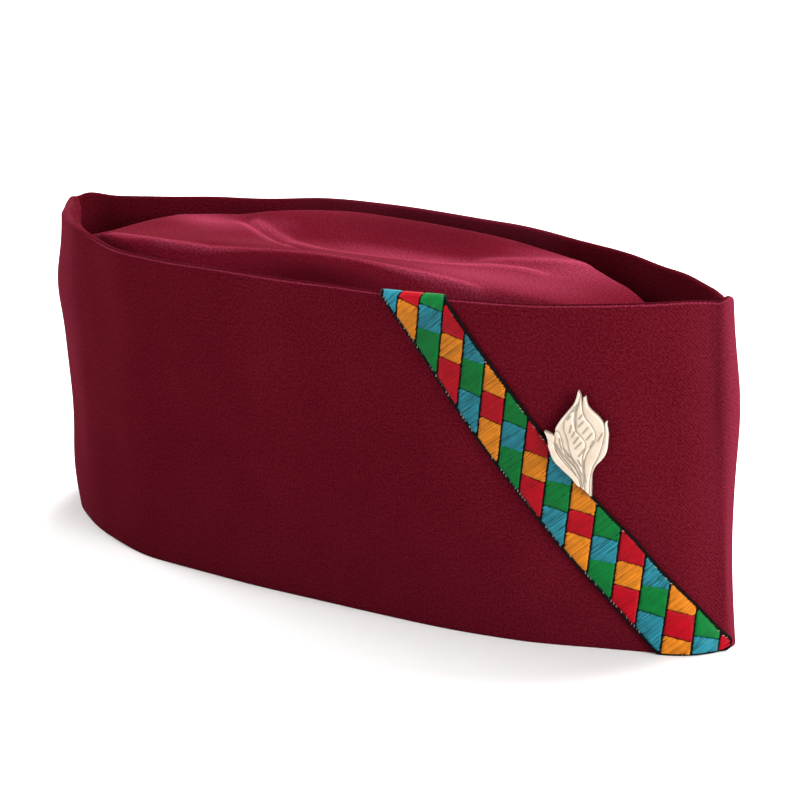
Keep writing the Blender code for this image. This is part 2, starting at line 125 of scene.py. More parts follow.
def away_from(x: np.ndarray, y: np.ndarray, line: Sequence[Point2]) -> np.ndarray:
    """The distance of each place from a line of straight stretches.

    Args:
        x: the places' first coordinates.
        y: the places' second coordinates.
        line: the line's corners.

    Returns:
        The distance of each place from the nearest point of the line.
    """
    nearest = np.full(np.shape(x), np.inf)
    for (from_x, from_y), (to_x, to_y) in zip(line[:-1], line[1:]):
        run_x, run_y = to_x - from_x, to_y - from_y
        share = ((x - from_x) * run_x + (y - from_y) * run_y) / (run_x**2 + run_y**2)
        share = np.clip(share, 0.0, 1.0)
        away = np.hypot(x - from_x - share * run_x, y - from_y - share * run_y)
        nearest = np.minimum(nearest, away)
    return nearest


def eased(steps: np.ndarray) -> np.ndarray:
    """Even steps from 0 to 1, crowded towards both ends."""
    return (1 - np.cos(math.pi * steps)) / 2


def opaque(value: object) -> object:
    """A colour with its opacity. Any other value stays as it is."""
    return (*value, 1.0) if isinstance(value, tuple) else value


class Socket:
    """An output of a node. Python's operators on it add Math nodes to its tree."""

    def __init__(self, tree: "NodeTree", output: bpy.types.NodeSocket) -> None:
        """Wraps an output of a node of the tree."""
        self.tree = tree
        self.output = output

    def __add__(self, other: "Socket | float") -> "Socket":
        """The sum with another socket or number."""
        return self.tree.math("ADD", self, other)

    def __radd__(self, other: float) -> "Socket":
        """The sum with a number on the left."""
        return self.tree.math("ADD", other, self)

    def __sub__(self, other: "Socket | float") -> "Socket":
        """The difference from another socket or number."""
        return self.tree.math("SUBTRACT", self, other)

    def __rsub__(self, other: float) -> "Socket":
        """A number less this socket."""
        return self.tree.math("SUBTRACT", other, self)

    def __mul__(self, other: "Socket | float") -> "Socket":
        """The product with another socket or number."""
        return self.tree.math("MULTIPLY", self, other)

    def __rmul__(self, other: float) -> "Socket":
        """The product with a number on the left."""
        return self.tree.math("MULTIPLY", other, self)

    def sine(self) -> "Socket":
        """The sine of this socket."""
        return self.tree.math("SINE", self)

    def size(self) -> "Socket":
        """This socket without its sign."""
        return self.tree.math("ABSOLUTE", self)

    def between(self, low: float, high: float) -> "Socket":
        """A soft step that rises from 0 at low to 1 at high."""
        values = {"Value": self, "From Min": low, "From Max": high}
        return self.tree.through("ShaderNodeMapRange", SOFT_STEP, values, "Result")


class NodeTree:
    """A tree of nodes, and the one way in which its nodes are made."""

    def __init__(self, tree: bpy.types.NodeTree) -> None:
        """Takes over a tree and empties it."""
        self.tree = tree
        tree.nodes.clear()

    def add(
        self,
        kind: str,
        settings: dict[str, object] | None = None,
        values: dict[int | str, object] | None = None,
    ) -> bpy.types.Node:
        """Makes a node.

        Args:
            kind: the node's type.
            settings: its properties, which are set first.
            values: what its inputs get, by name or number: a value or a link.

        Returns:
            The node.
        """
        node = self.tree.nodes.new(kind)
        for name, value in (settings or {}).items():
            setattr(node, name, value)
        for key, value in (values or {}).items():
            entry = self._socket(node.inputs, key)
            if isinstance(value, Socket):
                self.tree.links.new(value.output, entry)
            else:
                entry.default_value = value
        return node

    @staticmethod
    def _socket(sockets: Sequence[bpy.types.NodeSocket], key: int | str) -> bpy.types.NodeSocket:
        """The socket of that number, or else the first one in use that has the name."""
        named = (one for one in sockets if one.enabled and one.name == key)
        return sockets[key] if isinstance(key, int) else next(named)

    def out(self, node: bpy.types.Node, key: int | str = 0) -> Socket:
        """An output of a node, by name or number."""
        return Socket(self, self._socket(node.outputs, key))

    def through(
        self,
        kind: str,
        settings: dict[str, object] | None = None,
        values: dict[int | str, object] | None = None,
        key: int | str = 0,
    ) -> Socket:
        """Makes a node, as add does, and gives one of its outputs."""
        return self.out(self.add(kind, settings, values), key)

    def math(self, operation: str, *values: Socket | float) -> Socket:
        """Adds a Math node on values and gives its output."""
        return self.through("ShaderNodeMath", {"operation": operation}, dict(enumerate(values)))

    def vector(self, x: Socket | float, y: Socket | float, z: Socket | float) -> Socket:
        """Joins three numbers into a vector."""
        return self.through("ShaderNodeCombineXYZ", None, {0: x, 1: y, 2: z})


class MaterialTree(NodeTree):
    """The node tree of one finish."""

    def __init__(self, name: str) -> None:
        """Makes a new material.

        Args:
            name: the material's name.
        """
        self.material = bpy.data.materials.new(name)
        self.material.use_nodes = True
        super().__init__(self.material.node_tree)

    def uv(self) -> Socket:
        """The piece's own map of places, in metres."""
        return self.through("ShaderNodeUVMap", {"uv_map": CLOTH_UV}, None, "UV")

    def place(self) -> Socket:
        """The place on the piece in the object's own frame."""
        return self.through("ShaderNodeTexCoord", None, None, "Object")

    def attribute(self, name: str, key: str = "Fac") -> Socket:
        """An attribute of the piece's mesh."""
        return self.through("ShaderNodeAttribute", {"attribute_name": name}, None, key)

    def parts(self, vector: Socket) -> tuple[Socket, Socket]:
        """The first two parts of a vector."""
        node = self.add("ShaderNodeSeparateXYZ", None, {0: vector})
        return self.out(node, "X"), self.out(node, "Y")

    def noise(
        self, where: Socket, grain: float, detail: float = 2.0, stretch: Colour = (1, 1, 1)
    ) -> Socket:
        """Soft noise.

        Args:
            where: the place.
            grain: about how large a spot is, in metres.
            detail: how many finer layers it has.
            stretch: how much denser it is along each axis.

        Returns:
            The noise, from 0 to 1.
        """
        scaled = self.through("ShaderNodeVectorMath", {"operation": "MULTIPLY"}, {0: where, 1: stretch})
        values = {"Vector": scaled, "Scale": 1.0 / grain, "Detail": detail}
        return self.through("ShaderNodeTexNoise", None, values, "Fac")

    def mix(self, share: Socket | float, first: Socket | Colour, second: Socket | Colour) -> Socket:
        """A mix of two colours, with that share of the second."""
        values = {"Factor": share, "A": opaque(first), "B": opaque(second)}
        return self.through("ShaderNodeMix", {"data_type": "RGBA"}, values, "Result")

    def bump(self, height: Socket, depth: float, strength: float) -> Socket:
        """Raises the surface by a height from 0 to 1 times the depth in metres."""
        values = {"Height": height, "Distance": depth, "Strength": strength}
        return self.through("ShaderNodeBump", None, values, "Normal")

    def surface(self, inputs: dict[str, object]) -> bpy.types.Material:
        """Ends the tree in a Principled shader.

        Args:
            inputs: the shader's inputs: values, colours or links.

        Returns:
            The material.
        """
        values = {name: opaque(value) for name, value in inputs.items()}
        shader = self.through("ShaderNodeBsdfPrincipled", None, values)
        self.add("ShaderNodeOutputMaterial", None, {"Surface": shader})
        return self.material


class GeometryTree(NodeTree):
    """A Geometry Nodes tree with named inputs for its sizes, run once on a mesh."""

    def __init__(self, name: str, sizes: dict[str, float | int]) -> None:
        """Makes the tree and its inputs.

        Args:
            name: the tree's name.
            sizes: its inputs with their values. A whole number makes a whole-number input.
        """
        self.sizes = sizes
        self.group = bpy.data.node_groups.new(name, "GeometryNodeTree")
        super().__init__(self.group)
        sockets = self.group.interface
        for way in ("OUTPUT", "INPUT"):
            sockets.new_socket("Geometry", in_out=way, socket_type="NodeSocketGeometry")
        self.keys = {}
        for title, value in sizes.items():
            kind = "NodeSocketInt" if isinstance(value, int) else "NodeSocketFloat"
            made = sockets.new_socket(title, in_out="INPUT", socket_type=kind)
            self.keys[title] = made.identifier
        self.start = self.add("NodeGroupInput")

    def given(self, name: str) -> Socket:
        """One of the tree's inputs."""
        return self.out(self.start, name)

    def path(self) -> Socket:
        """The lines of the mesh, as curves."""
        return self.through("GeometryNodeMeshToCurve", None, {"Mesh": self.given("Geometry")})

    def random(self, low: float, high: float, seed_step: int) -> Socket:
        """A random number for each element, from the tree's seed and a step of its own."""
        values = {"Min": low, "Max": high, "Seed": self.given("Seed") + float(seed_step)}
        return self.through("FunctionNodeRandomValue", NUMBER, values, "Value")

    def named(self, name: str, kind: str) -> Socket:
        """An attribute that the mesh came with."""
        settings, values = {"data_type": kind}, {"Name": name}
        return self.through("GeometryNodeInputNamedAttribute", settings, values, "Attribute")

    def store_tone(self, geometry: Socket, domain: str, value: Socket) -> Socket:
        """Keeps a number on each part of the geometry, as the tone that its material reads."""
        values = {"Geometry": geometry, "Name": "tone", "Value": value}
        return self.through("GeometryNodeStoreNamedAttribute", {**NUMBER, "domain": domain}, values)

    def tube(
        self, curve: Socket, thickness: Socket, sides: Socket | int, scale: Socket | float = 1.0
    ) -> Socket:
        """A round tube along a curve, closed at its ends.

        Args:
            curve: the curve.
            thickness: the tube's thickness.
            sides: how many sides it has.
            scale: how many times as thick it is, along the curve.

        Returns:
            The tube.
        """
        size = {"Resolution": sides, "Radius": thickness * 0.5}
        ring = self.through("GeometryNodeCurvePrimitiveCircle", {"mode": "RADIUS"}, size)
        values = {"Curve": curve, "Profile Curve": ring, "Scale": scale, "Fill Caps": True}
        return self.through("GeometryNodeCurveToMesh", None, values)

    def end(self, geometry: Socket, material: bpy.types.Material) -> None:
        """Ends the tree in real geometry with a material.

        Args:
            geometry: what the tree has made.
            material: the material that it gets.
        """
        real = self.through("GeometryNodeRealizeInstances", None, {"Geometry": geometry})
        smooth = self.through("GeometryNodeSetShadeSmooth", None, {"Geometry": real})
        values = {"Geometry": smooth, "Material": material}
        dressed = self.through("GeometryNodeSetMaterial", None, values)
        self.add("NodeGroupOutput", None, {0: dressed})

    def run(self, name: str, mesh: bpy.types.Mesh) -> bpy.types.Mesh:
        """Runs the tree on a mesh.

        Args:
            name: the name of the mesh that it makes.
            mesh: the mesh that it starts from.

        Returns:
            The new mesh, with no modifier left on it.
        """
        carrier = put(name, mesh)
        modifier = carrier.modifiers.new(name, "NODES")
        modifier.node_group = self.group
        for title, value in self.sizes.items():
            modifier[self.keys[title]] = value
        return bake(carrier, name)


def put(name: str, data: bpy.types.ID) -> bpy.types.Object:
    """Puts a mesh, a light or a camera into the scene.

    Args:
        name: the new object's name.
        data: what it shows.

    Returns:
        The object.
    """
    made = bpy.data.objects.new(name, data)
    bpy.context.scene.collection.objects.link(made)
    return made


def bake(carrier: bpy.types.Object, name: str) -> bpy.types.Mesh:
    """Turns an object with its modifiers into a plain mesh, and removes the object.

    Args:
        carrier: the object.
        name: the new mesh's name.

    Returns:
        The mesh.
    """
    shown = carrier.evaluated_get(bpy.context.evaluated_depsgraph_get())
    made = bpy.data.meshes.new_from_object(shown)
    carrier.modifiers.clear()
    bpy.data.objects.remove(carrier, do_unlink=True)
    made.name = name
    return made


@contextmanager
def editing(mesh: bpy.types.Mesh) -> Iterator[bmesh.types.BMesh]:
    """Opens a mesh for changes, and writes them back to it.

    Args:
        mesh: the mesh, new or finished.

    Yields:
        Its points, edges and faces.
    """
    build = bmesh.new()
    build.from_mesh(mesh)
    yield build
    build.to_mesh(mesh)
    build.free()


def soften(mesh: bpy.types.Mesh, sharp_angle: float) -> None:
    """Shades a mesh smooth, except where it turns by more than the angle."""
    mesh.shade_smooth()
    mesh.set_sharp_from_angle(angle=sharp_angle)


def keep_values(mesh: bpy.types.Mesh, name: str, kind: str, values: Sequence) -> None:
    """Keeps a value on each point of a mesh, for its material or its tree."""
    kept = mesh.attributes.new(name, kind, "POINT")
    kept.data.foreach_set(ATTRIBUTE_FIELDS[kind], np.asarray(values, np.float32).ravel())


def wear(name: str, mesh: bpy.types.Mesh, slot: str, *nodes: str) -> bpy.types.Object:
    """Adds a finished piece to the cap.

    Args:
        name: the piece's name.
        mesh: its mesh, in place and with its material.
        slot: the name of a material slot; not used.
        nodes: the CAD nodes that it stands for.

    Returns:
        The piece's object, at the origin.
    """
    piece = put(name, mesh)
    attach(piece, BODY)
    if nodes:
        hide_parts(*nodes)
    mesh.calc_loop_triangles()
    log.info("%s: %d triangles", name, len(mesh.loop_triangles))
    return piece


def grid_mesh(
    name: str,
    points: np.ndarray,
    material: bpy.types.Material,
    uv: np.ndarray,
    around: bool = False,
    along: bool = False,
) -> bpy.types.Mesh:
    """A mesh from rows of points.

    Args:
        name: the mesh's name.
        points: rows by columns by 3.
        material: its material.
        uv: places for the material, with one row and column more where the grid closes.
        around: whether each row closes on itself.
        along: whether the last row meets the first.

    Returns:
        The mesh, smooth.
    """
    rows, columns = points.shape[:2]
    row = np.arange(rows if along else rows - 1)[:, None]
    column = np.arange(columns if around else columns - 1)[None, :]
    next_row, next_column = (row + 1) % rows, (column + 1) % columns
    corners = [(row, column), (row, next_column), (next_row, next_column), (next_row, column)]
    faces = np.stack([r * columns + c for r, c in corners], -1)
    mesh = bpy.data.meshes.new(name)
    mesh.from_pydata(points.reshape(-1, 3).tolist(), [], faces.reshape(-1, 4).tolist())
    spots = [(row, column), (row, column + 1), (row + 1, column + 1), (row + 1, column)]
    places = np.stack([uv[r, c] for r, c in spots], -2)
    mesh.uv_layers.new(name=CLOTH_UV).data.foreach_set("uv", places.astype(np.float32).ravel())
    mesh.materials.append(material)
    mesh.shade_smooth()
    mesh.update()
    return mesh


def paths_mesh(
    name: str,
    paths: Sequence[np.ndarray],
    outwards: np.ndarray | None = None,
    shades: Sequence[Colour] | None = None,
) -> bpy.types.Mesh:
    """Lines of edges, for a Geometry Nodes tree to follow.

    Args:
        name: the mesh's name.
        paths: the points of each line.
        outwards: the surface's direction at each point, if the tree needs it.
        shades: one colour for each line, if the tree needs them.

    Returns:
        The mesh, with its attributes "out" and "shade".
    """
    edges, first = [], 0
    for path in paths:
        edges += [(first + k, first + k + 1) for k in range(len(path) - 1)]
        first += len(path)
    mesh = bpy.data.meshes.new(name)
    mesh.from_pydata(np.concatenate(paths).tolist(), edges, [])
    if outwards is not None:
        keep_values(mesh, "out", "FLOAT_VECTOR", outwards)
    if shades is not None:
        colours = [np.tile(opaque(shade), (len(path), 1)) for path, shade in zip(paths, shades)]
        keep_values(mesh, "shade", "FLOAT_COLOR", np.concatenate(colours))
    return mesh


@dataclass(frozen=True)
class PaintedRimLight:
    """Painted light and painted shade on the band's cloth: at its rim, its creases and its hem.

    A span goes from where a zone begins to where it is full, in metres along the loop from
    the front crease, or up the cloth. Pale and dark strengths are shares of the painted highlight colour.
    """

    rim_climb: float = 99.9 * MM
    line_offset: float = 0.35 * MM
    line_span: Point2 = (0.05 * MM, 0.45 * MM)
    fold_start: Point2 = (-0.2 * MM, 0.2 * MM)
    fold_end: Point2 = (1.2 * MM, 3.0 * MM)
    near_span: Point2 = (-2.0 * MM, 6.0 * MM)
    back_span: Point2 = (205.0 * MM, 245.0 * MM)
    end_span: Point2 = (240.0 * MM, 258.0 * MM)
    end_climb: Point2 = (20.0 * MM, 60.0 * MM)
    hem_climb: Point2 = (0.0, 50.0 * MM)
    crease_span: Point2 = (0.5 * MM, 4.0 * MM)
    beside_span: Point2 = (3.0 * MM, 16.0 * MM)
    middle_place: float = 142.0 * MM
    middle_span: Point2 = (20.0 * MM, 85.0 * MM)
    inner_climb: Point2 = (0.3 * MM, 1.5 * MM)
    front_span: Point2 = (50.0 * MM, 110.0 * MM)
    near_line_pale: float = 0.20
    line_pale: float = 0.03
    fold_dark: float = 0.36
    crease_pale: float = 0.12
    beside_pale: float = 0.05
    end_pale: float = 0.09
    hem_pale: float = 0.012
    inner_pale: float = 0.10
    inner_end_dark: float = 0.17
    inner_front_dark: float = 0.18

    def share(self, along: Socket, up: Socket, patchy: Socket) -> Socket:
        """How much painted light and painted shade each place gets.

        Args:
            along: the way round the loop from the front crease, less than 0 on the near side.
            up: the climb from the hem.
            patchy: the cloth's specks, from 0 to 1.

        Returns:
            The share of the painted highlight colour. Less than 0 is painted shade, darker than the plain
            cloth.
        """
        away = along.size()
        over = up - self.rim_climb
        rim = 1.0 - (over + self.line_offset).size().between(*self.line_span)
        within = over.between(*self.fold_start) * (1.0 - over.between(*self.fold_end))
        near = (along * -1.0).between(*self.near_span)
        back = away.between(*self.back_span)
        end = away.between(*self.end_span) * (up.between(*self.end_climb) * 0.5 + 0.5)
        low = 1.0 - up.between(*self.hem_climb)
        crease = 1.0 - away.between(*self.crease_span)
        beside = (1.0 - away.between(*self.beside_span)) * (1.0 - low)
        # A painted highlight along the top of the rim, strongest on the near side, and painted shade on the
        # fold below it.
        line = rim * (near * self.near_line_pale + self.line_pale) * (patchy + 0.5)
        line = line - within * near * self.fold_dark
        middle = 1.0 - (away - self.middle_place).size().between(*self.middle_span)
        inner = over.between(*self.inner_climb)
        front = 1.0 - away.between(*self.front_span)
        # Painted light on the creases, beside them, at the back end and low on the wall.
        folds = crease * self.crease_pale + beside * self.beside_pale
        folds = folds + end * self.end_pale + low * self.hem_pale
        # Inside: painted light in the middle of the inner wall, and painted shade towards its ends.
        inside = middle * self.inner_pale - end * self.inner_end_dark - front * self.inner_front_dark
        return line * (1.0 - back) + folds + inner * inside


@dataclass(frozen=True)
class TwillFinish:
    """Fine brushed wool twill: slanting ribs, soft mottling and a pale nap at grazing light."""

    name: str
    deep: Colour
    lit: Colour
    # the colour of the painted highlights
    painted_light: Colour
    nap: Colour
    rim: PaintedRimLight | None = None
    rib: float = 0.85 * MM
    slant: float = math.radians(48)
    rib_share: float = 0.75
    rib_patch_grain: float = 12.0 * MM
    rib_patch_share: float = 0.3
    crease_span: Point2 = (4.0 * MM, 40.0 * MM)
    waver_grain: float = 9.0 * MM
    waver: float = 0.9 * MM
    grain: float = 0.60 * MM
    float_grain: float = 1.3 * MM
    mottle_grain: float = 17.0 * MM
    relief: float = 0.16 * MM
    relief_strength: float = 0.8
    nap_weight: float = 0.03
    nap_roughness: float = 0.25
    roughness: float = 0.95

    def material(self) -> bpy.types.Material:
        """The finish on the piece's own map: how far each place is from deep to lit, and its painted light
        and painted shade.

        Returns:
            The material.
        """
        tree = MaterialTree(self.name)
        where = tree.uv()
        along, up = tree.parts(where)
        waver = tree.noise(where, self.waver_grain) * self.waver
        across = along * math.sin(self.slant) + up * math.cos(self.slant) + waver
        ribs = (across * (FULL_TURN / self.rib)).sine() * 0.5 + 0.5
        near_crease = 1.0 - along.size().between(*self.crease_span)
        patches = tree.noise(where, self.rib_patch_grain) * (self.rib_share * self.rib_patch_share)
        shown = near_crease * self.rib_share + patches
        specks = tree.noise(where, self.grain, 3.0).between(0.33, 0.67)
        floats = tree.noise(where, self.float_grain).between(0.25, 0.75)
        mottle = tree.noise(where, self.mottle_grain, 3.0)
        tone = specks * 0.66 + ribs * shown * 0.40 + floats * 0.16 + mottle * 0.3 - 0.25
        # Painted light from the mesh and from the band's painted rim light; below 0 it darkens towards
        # black as painted shade.
        painted_light = tree.attribute("painted_light") * (specks * 0.9 + 0.55)
        if self.rim:
            painted_light = painted_light + self.rim.share(along, up, specks)
        height = specks * 0.55 + ribs * shown * 0.65 + floats * 0.25
        cloth = tree.mix(tone, self.deep, self.lit)
        cloth = tree.mix(painted_light * -1.0, cloth, BLACK)
        return tree.surface(
            {
                "Base Color": tree.mix(painted_light, cloth, self.painted_light),
                "Roughness": self.roughness,
                "Specular IOR Level": 0.0,
                "Sheen Weight": self.nap_weight,
                "Sheen Roughness": self.nap_roughness,
                "Sheen Tint": self.nap,
                "Normal": tree.bump(height, self.relief, self.relief_strength),
            }
        )


@dataclass(frozen=True)
class SilkFinish:
    """Floss silk: a colour from the mesh, a little lighter or darker from thread to thread, with painted
    shade on the patches under the threads.
    """

    name: str = "floss_silk"
    spread: float = 0.18
    fibre_grain: float = 0.25 * MM
    cloud_grain: float = 2.4 * MM
    relief: float = 0.04 * MM
    roughness: float = 0.45

    def material(self) -> bpy.types.Material:
        """The finish on the mesh's shade and tone.

        Returns:
            The material.
        """
        tree = MaterialTree(self.name)
        shade, tone = tree.attribute("shade", "Color"), tree.attribute("tone")
        where = tree.place()
        fibres = tree.noise(where, self.fibre_grain)
        clouds = tree.noise(where, self.cloud_grain).between(0.35, 0.8)
        # A tone of -1 on the patches darkens them: painted shade in the gaps between the satin threads.
        darker = (1.0 - tone) * self.spread + fibres * 0.12 + clouds * 0.18 - 0.05
        return tree.surface(
            {
                "Base Color": tree.mix(darker, shade, BLACK),
                "Roughness": self.roughness,
                "Specular IOR Level": 0.10,
                "Normal": tree.bump(fibres, self.relief, 0.7),
            }
        )


@dataclass(frozen=True)
class YarnFinish:
    """Sewing yarn of a dark shade, in which some stitches are pale."""

    name: str
    dark: Colour
    pale: Colour
    pale_share: float
    fibre_grain: float = 0.3 * MM
    relief: float = 0.05 * MM
    roughness: float = 0.75

    def material(self) -> bpy.types.Material:
        """The finish on the tone of each stitch.

        Returns:
            The material.
        """
        tree = MaterialTree(self.name)
        fibres = tree.noise(tree.place(), self.fibre_grain)
        pale = tree.attribute("tone").between(1.0 - self.pale_share, 1.0 - self.pale_share / 3)
        return tree.surface(
            {
                "Base Color": tree.mix(pale * (fibres * 0.6 + 0.55), self.dark, self.pale),
                "Roughness": self.roughness,
                "Specular IOR Level": 0.05,
                "Normal": tree.bump(fibres, self.relief, 0.6),
            }
        )


@dataclass(frozen=True)
class PressedMetalFinish:
    """Pale pressed metal with a patina in its grooves, patina and painted shade beside the edges of its
    upper leaves, and polish with a painted highlight on its beaded edges.
    """

    name: str = "badge_metal"
    plain: Colour = light(169, 157, 141)
    warm: Colour = light(163, 147, 130)
    polish_highlight: Colour = light(178, 169, 157)
    patina: Colour = light(100, 89, 74)
    cloud_grain: float = 3.5 * MM
    grain: float = 0.35 * MM
    relief: float = 0.03 * MM
    metallic: float = 0.2

    def material(self) -> bpy.types.Material:
        """The finish on the mesh's grooves with their patina and painted shade, and on its polished edges
        with their painted highlight.

        Returns:
            The material.
        """
        tree = MaterialTree(self.name)
        where = tree.place()
        clouds, grain = tree.noise(where, self.cloud_grain, 3.0), tree.noise(where, self.grain, 3.0)
        # groove: patina in the grooves, and patina with painted shade beside the upper leaves' edges
        groove = tree.attribute("groove")
        metal = tree.mix(clouds.between(0.35, 0.7), self.plain, self.warm)
        # beaded edges lighter: worn polish and a painted highlight
        metal = tree.mix(tree.attribute("polish_and_highlight"), metal, self.polish_highlight)
        metal = tree.mix(grain.between(0.5, 0.8) * 0.22, metal, self.patina)
        return tree.surface(
            {
                "Base Color": tree.mix(groove * (grain * 0.5 + 0.65), metal, self.patina),
                "Metallic": self.metallic,
                "Roughness": grain * 0.16 + groove * 0.3 + 0.42,
                "Normal": tree.bump(grain + clouds * 0.5, self.relief, 0.6),
            }
        )


@dataclass(frozen=True)
class SteelFinish:
    """Turned steel with fine rings from the lathe."""

    name: str = "pin_steel"
    colour: Colour = (0.56, 0.56, 0.58)
    dull: Colour = (0.32, 0.32, 0.34)
    ring_grain: float = 0.5 * MM
    stretch: Colour = (1.0, 1.0, 6.0)

    def material(self) -> bpy.types.Material:
        """The finish on the piece's own frame.

        Returns:
            The material.
        """
        tree = MaterialTree(self.name)
        brushed = tree.noise(tree.place(), self.ring_grain, 2.0, self.stretch)
        return tree.surface(
            {
                "Base Color": tree.mix(brushed * 0.3, self.colour, self.dull),
                "Metallic": 1.0,
                "Roughness": brushed * 0.2 + 0.22,
            }
        )


@dataclass(frozen=True)
class FloorFinish:
    """Plain pale studio floor."""

    name: str = "floor_paper"
    colour: Colour = (0.86, 0.86, 0.86)
    darker: Colour = (0.8, 0.8, 0.8)
    cloud_grain: float = 0.5

    def material(self) -> bpy.types.Material:
        """The finish on the floor's own frame.

        Returns:
            The material.
        """
        tree = MaterialTree(self.name)
        clouds = tree.noise(tree.place(), self.cloud_grain, 1.0)
        colour = tree.mix(clouds * 0.06, self.colour, self.darker)
        return tree.surface({"Base Color": colour, "Roughness": 0.95, "Specular IOR Level": 0.1})


class Section(NamedTuple):
    """The band's outer face at a place along its length, in shares of its half depths."""

    along: float
    near_rim: float
    near_hem: float
    far_rim: float
    far_hem: float


class Wave(NamedTuple):
    """A soft bulge of the wall: its place, its spread and its push in wave depths."""

    turn: float
    level: float
    turn_spread: float
    level_spread: float
    push: float


class Peak(NamedTuple):
    """A small peak or dip of the rim: its turn, its spread and its share of the height."""

    turn: float
    spread: float
    rise: float


@dataclass
class Wall:
    """The shape of the band's cloth wall, which every piece on it follows.

    A turn goes round the loop in radians from the front crease, first along the far side. A
    reach is the distance along the near side from the front crease. A climb starts at the
    hem, goes up the outside, over the rim and down inside.
    """

    length: float = 267.0 * MM
    near_depth: float = 50.0 * MM
    far_depth: float = 43.5 * MM
    crease_shift: float = 1.25 * MM
    height: float = 100.0 * MM
    thickness: float = 2.2 * MM
    hem_rounding: float = 0.4 * MM
    wave_depth: float = 2.0 * MM
    ripple: float = 0.16 * MM
    rim_ripple: float = 0.0016
    bulky_turn: float = 206.0
    bulky_spread: float = 15.0
    bulky_level: float = 0.80
    bulky_rise: float = 0.15
    bulk: float = 1.8
    turn_step: float = 0.01
    samples: int = 2000
    cad_stations: int = 88
    cad_rows: int = 13
    origin: Vector = field(default_factory=Vector)
    sections: tuple[Section, ...] = (
        Section(-0.994, 0.078, 0.078, 0.032, 0.032),
        Section(-0.980, 0.118, 0.114, 0.074, 0.074),
        Section(-0.940, 0.246, 0.262, 0.150, 0.160),
        Section(-0.880, 0.404, 0.440, 0.235, 0.250),
        Section(-0.800, 0.538, 0.586, 0.360, 0.370),
        Section(-0.620, 0.770, 0.792, 0.610, 0.600),
        Section(-0.400, 0.960, 0.910, 0.890, 0.845),
        Section(-0.150, 1.000, 0.905, 1.000, 0.930),
        Section(0.150, 0.920, 0.845, 0.972, 0.900),
        Section(0.420, 0.820, 0.766, 0.800, 0.750),
        Section(0.620, 0.674, 0.644, 0.598, 0.570),
        Section(0.780, 0.480, 0.462, 0.375, 0.370),
        Section(0.900, 0.268, 0.266, 0.190, 0.190),
        Section(0.975, 0.100, 0.100, 0.060, 0.060),
        Section(0.994, 0.071, 0.071, 0.024, 0.024),
    )
    waves: tuple[Wave, ...] = (
        Wave(0, 0.70, 14, 0.17, 0.90),
        Wave(0, 0.23, 14, 0.22, -0.80),
        Wave(200, 0.77, 22, 0.12, 1.10),
        Wave(200, 0.38, 22, 0.16, -0.50),
        Wave(252, 0.40, 22, 0.25, -0.35),
        Wave(120, 0.45, 28, 0.25, -0.45),
        Wave(60, 0.35, 20, 0.22, 0.40),
        Wave(206, 0.45, 20, 0.45, 1.15),
        Wave(206, 0.12, 18, 0.12, 0.55),
        Wave(240, 0.0, 22, 0.25, 0.85),
        Wave(338, 0.0, 12, 0.12, 1.80),
    )
    peaks: tuple[Peak, ...] = (
        Peak(0, 6, 0.007),
        Peak(167, 8, 0.007),
        Peak(190, 9, 0.008),
        Peak(130, 20, -0.004),
        Peak(71, 9, -0.005),
        Peak(50, 9, 0.003),
        Peak(113, 8, 0.005),
        Peak(236, 14, -0.009),
        Peak(302, 22, -0.007),
        Peak(33, 9, 0.006),
        Peak(15, 6, -0.008),
    )

    def __post_init__(self) -> None:
        """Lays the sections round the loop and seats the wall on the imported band."""
        self.rim_loop = self._knots("near_rim", "far_rim")
        self.hem_loop = self._knots("near_hem", "far_hem")
        self.near_turns = np.linspace(FULL_TURN, math.pi, self.samples)
        self.far_turns = np.linspace(0.0, math.pi, self.samples)
        self.near_reaches = self._distances(self.near_turns)
        self.far_reaches = self._distances(self.far_turns)
        self._seat()

    def _knots(self, near: str, far: str) -> np.ndarray:
        """The sections laid round the loop, with one lap more each way.

        Args:
            near: the name of the near side's share in a section.
            far: the name of the far side's.

        Returns:
            A row of turns and a row of places across the cap.
        """
        lap = [(0.0, -self.crease_shift), (math.pi, -self.crease_shift)]
        for row in self.sections:
            turn = math.acos(row.along)
            lap.append((turn, getattr(row, far) * self.far_depth))
            lap.append((FULL_TURN - turn, -getattr(row, near) * self.near_depth))
        lap.sort()
        return np.array([(turn + FULL_TURN * k, across) for k in (-1, 0, 1) for turn, across in lap]).T

    def _distances(self, turns: np.ndarray) -> np.ndarray:
        """Distances walked along the wall at half its height."""
        x, y = self.outline(turns, np.full_like(turns, 0.5))
        return np.concatenate([[0.0], np.cumsum(np.hypot(np.diff(x), np.diff(y)))])

    def _seat(self) -> None:
        """Moves the wall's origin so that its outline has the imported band's middle."""
        turns = np.arange(self.cad_stations) * FULL_TURN / self.cad_stations
        heights = np.linspace(self.hem_rounding, self.height - self.thickness / 2, self.cad_rows)
        rows = np.concatenate([self.points(turns, height, 0.0, smooth=True) for height in heights])
        low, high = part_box("band")
        middle = (rows.max(0) + rows.min(0)) / 2
        self.origin = Vector(((low.x + high.x) / 2 - middle[0], (low.y + high.y) / 2 - middle[1], 0.0))
        log.info("wall origin %.2f, %.2f mm", self.origin.x / MM, self.origin.y / MM)

    def outline(self, turn: np.ndarray, level: np.ndarray) -> tuple[np.ndarray, np.ndarray]:
        """The outer face in plan, with no waves.

        Args:
            turn: the turns round the loop.
            level: the heights, from 0 at the hem to 1 at the rim.

        Returns:
            The places along the cap and across it.
        """
        rim = curve_through(*self.rim_loop, turn)
        hem = curve_through(*self.hem_loop, turn)
        return self.length / 2 * np.cos(turn), hem + (rim - hem) * level

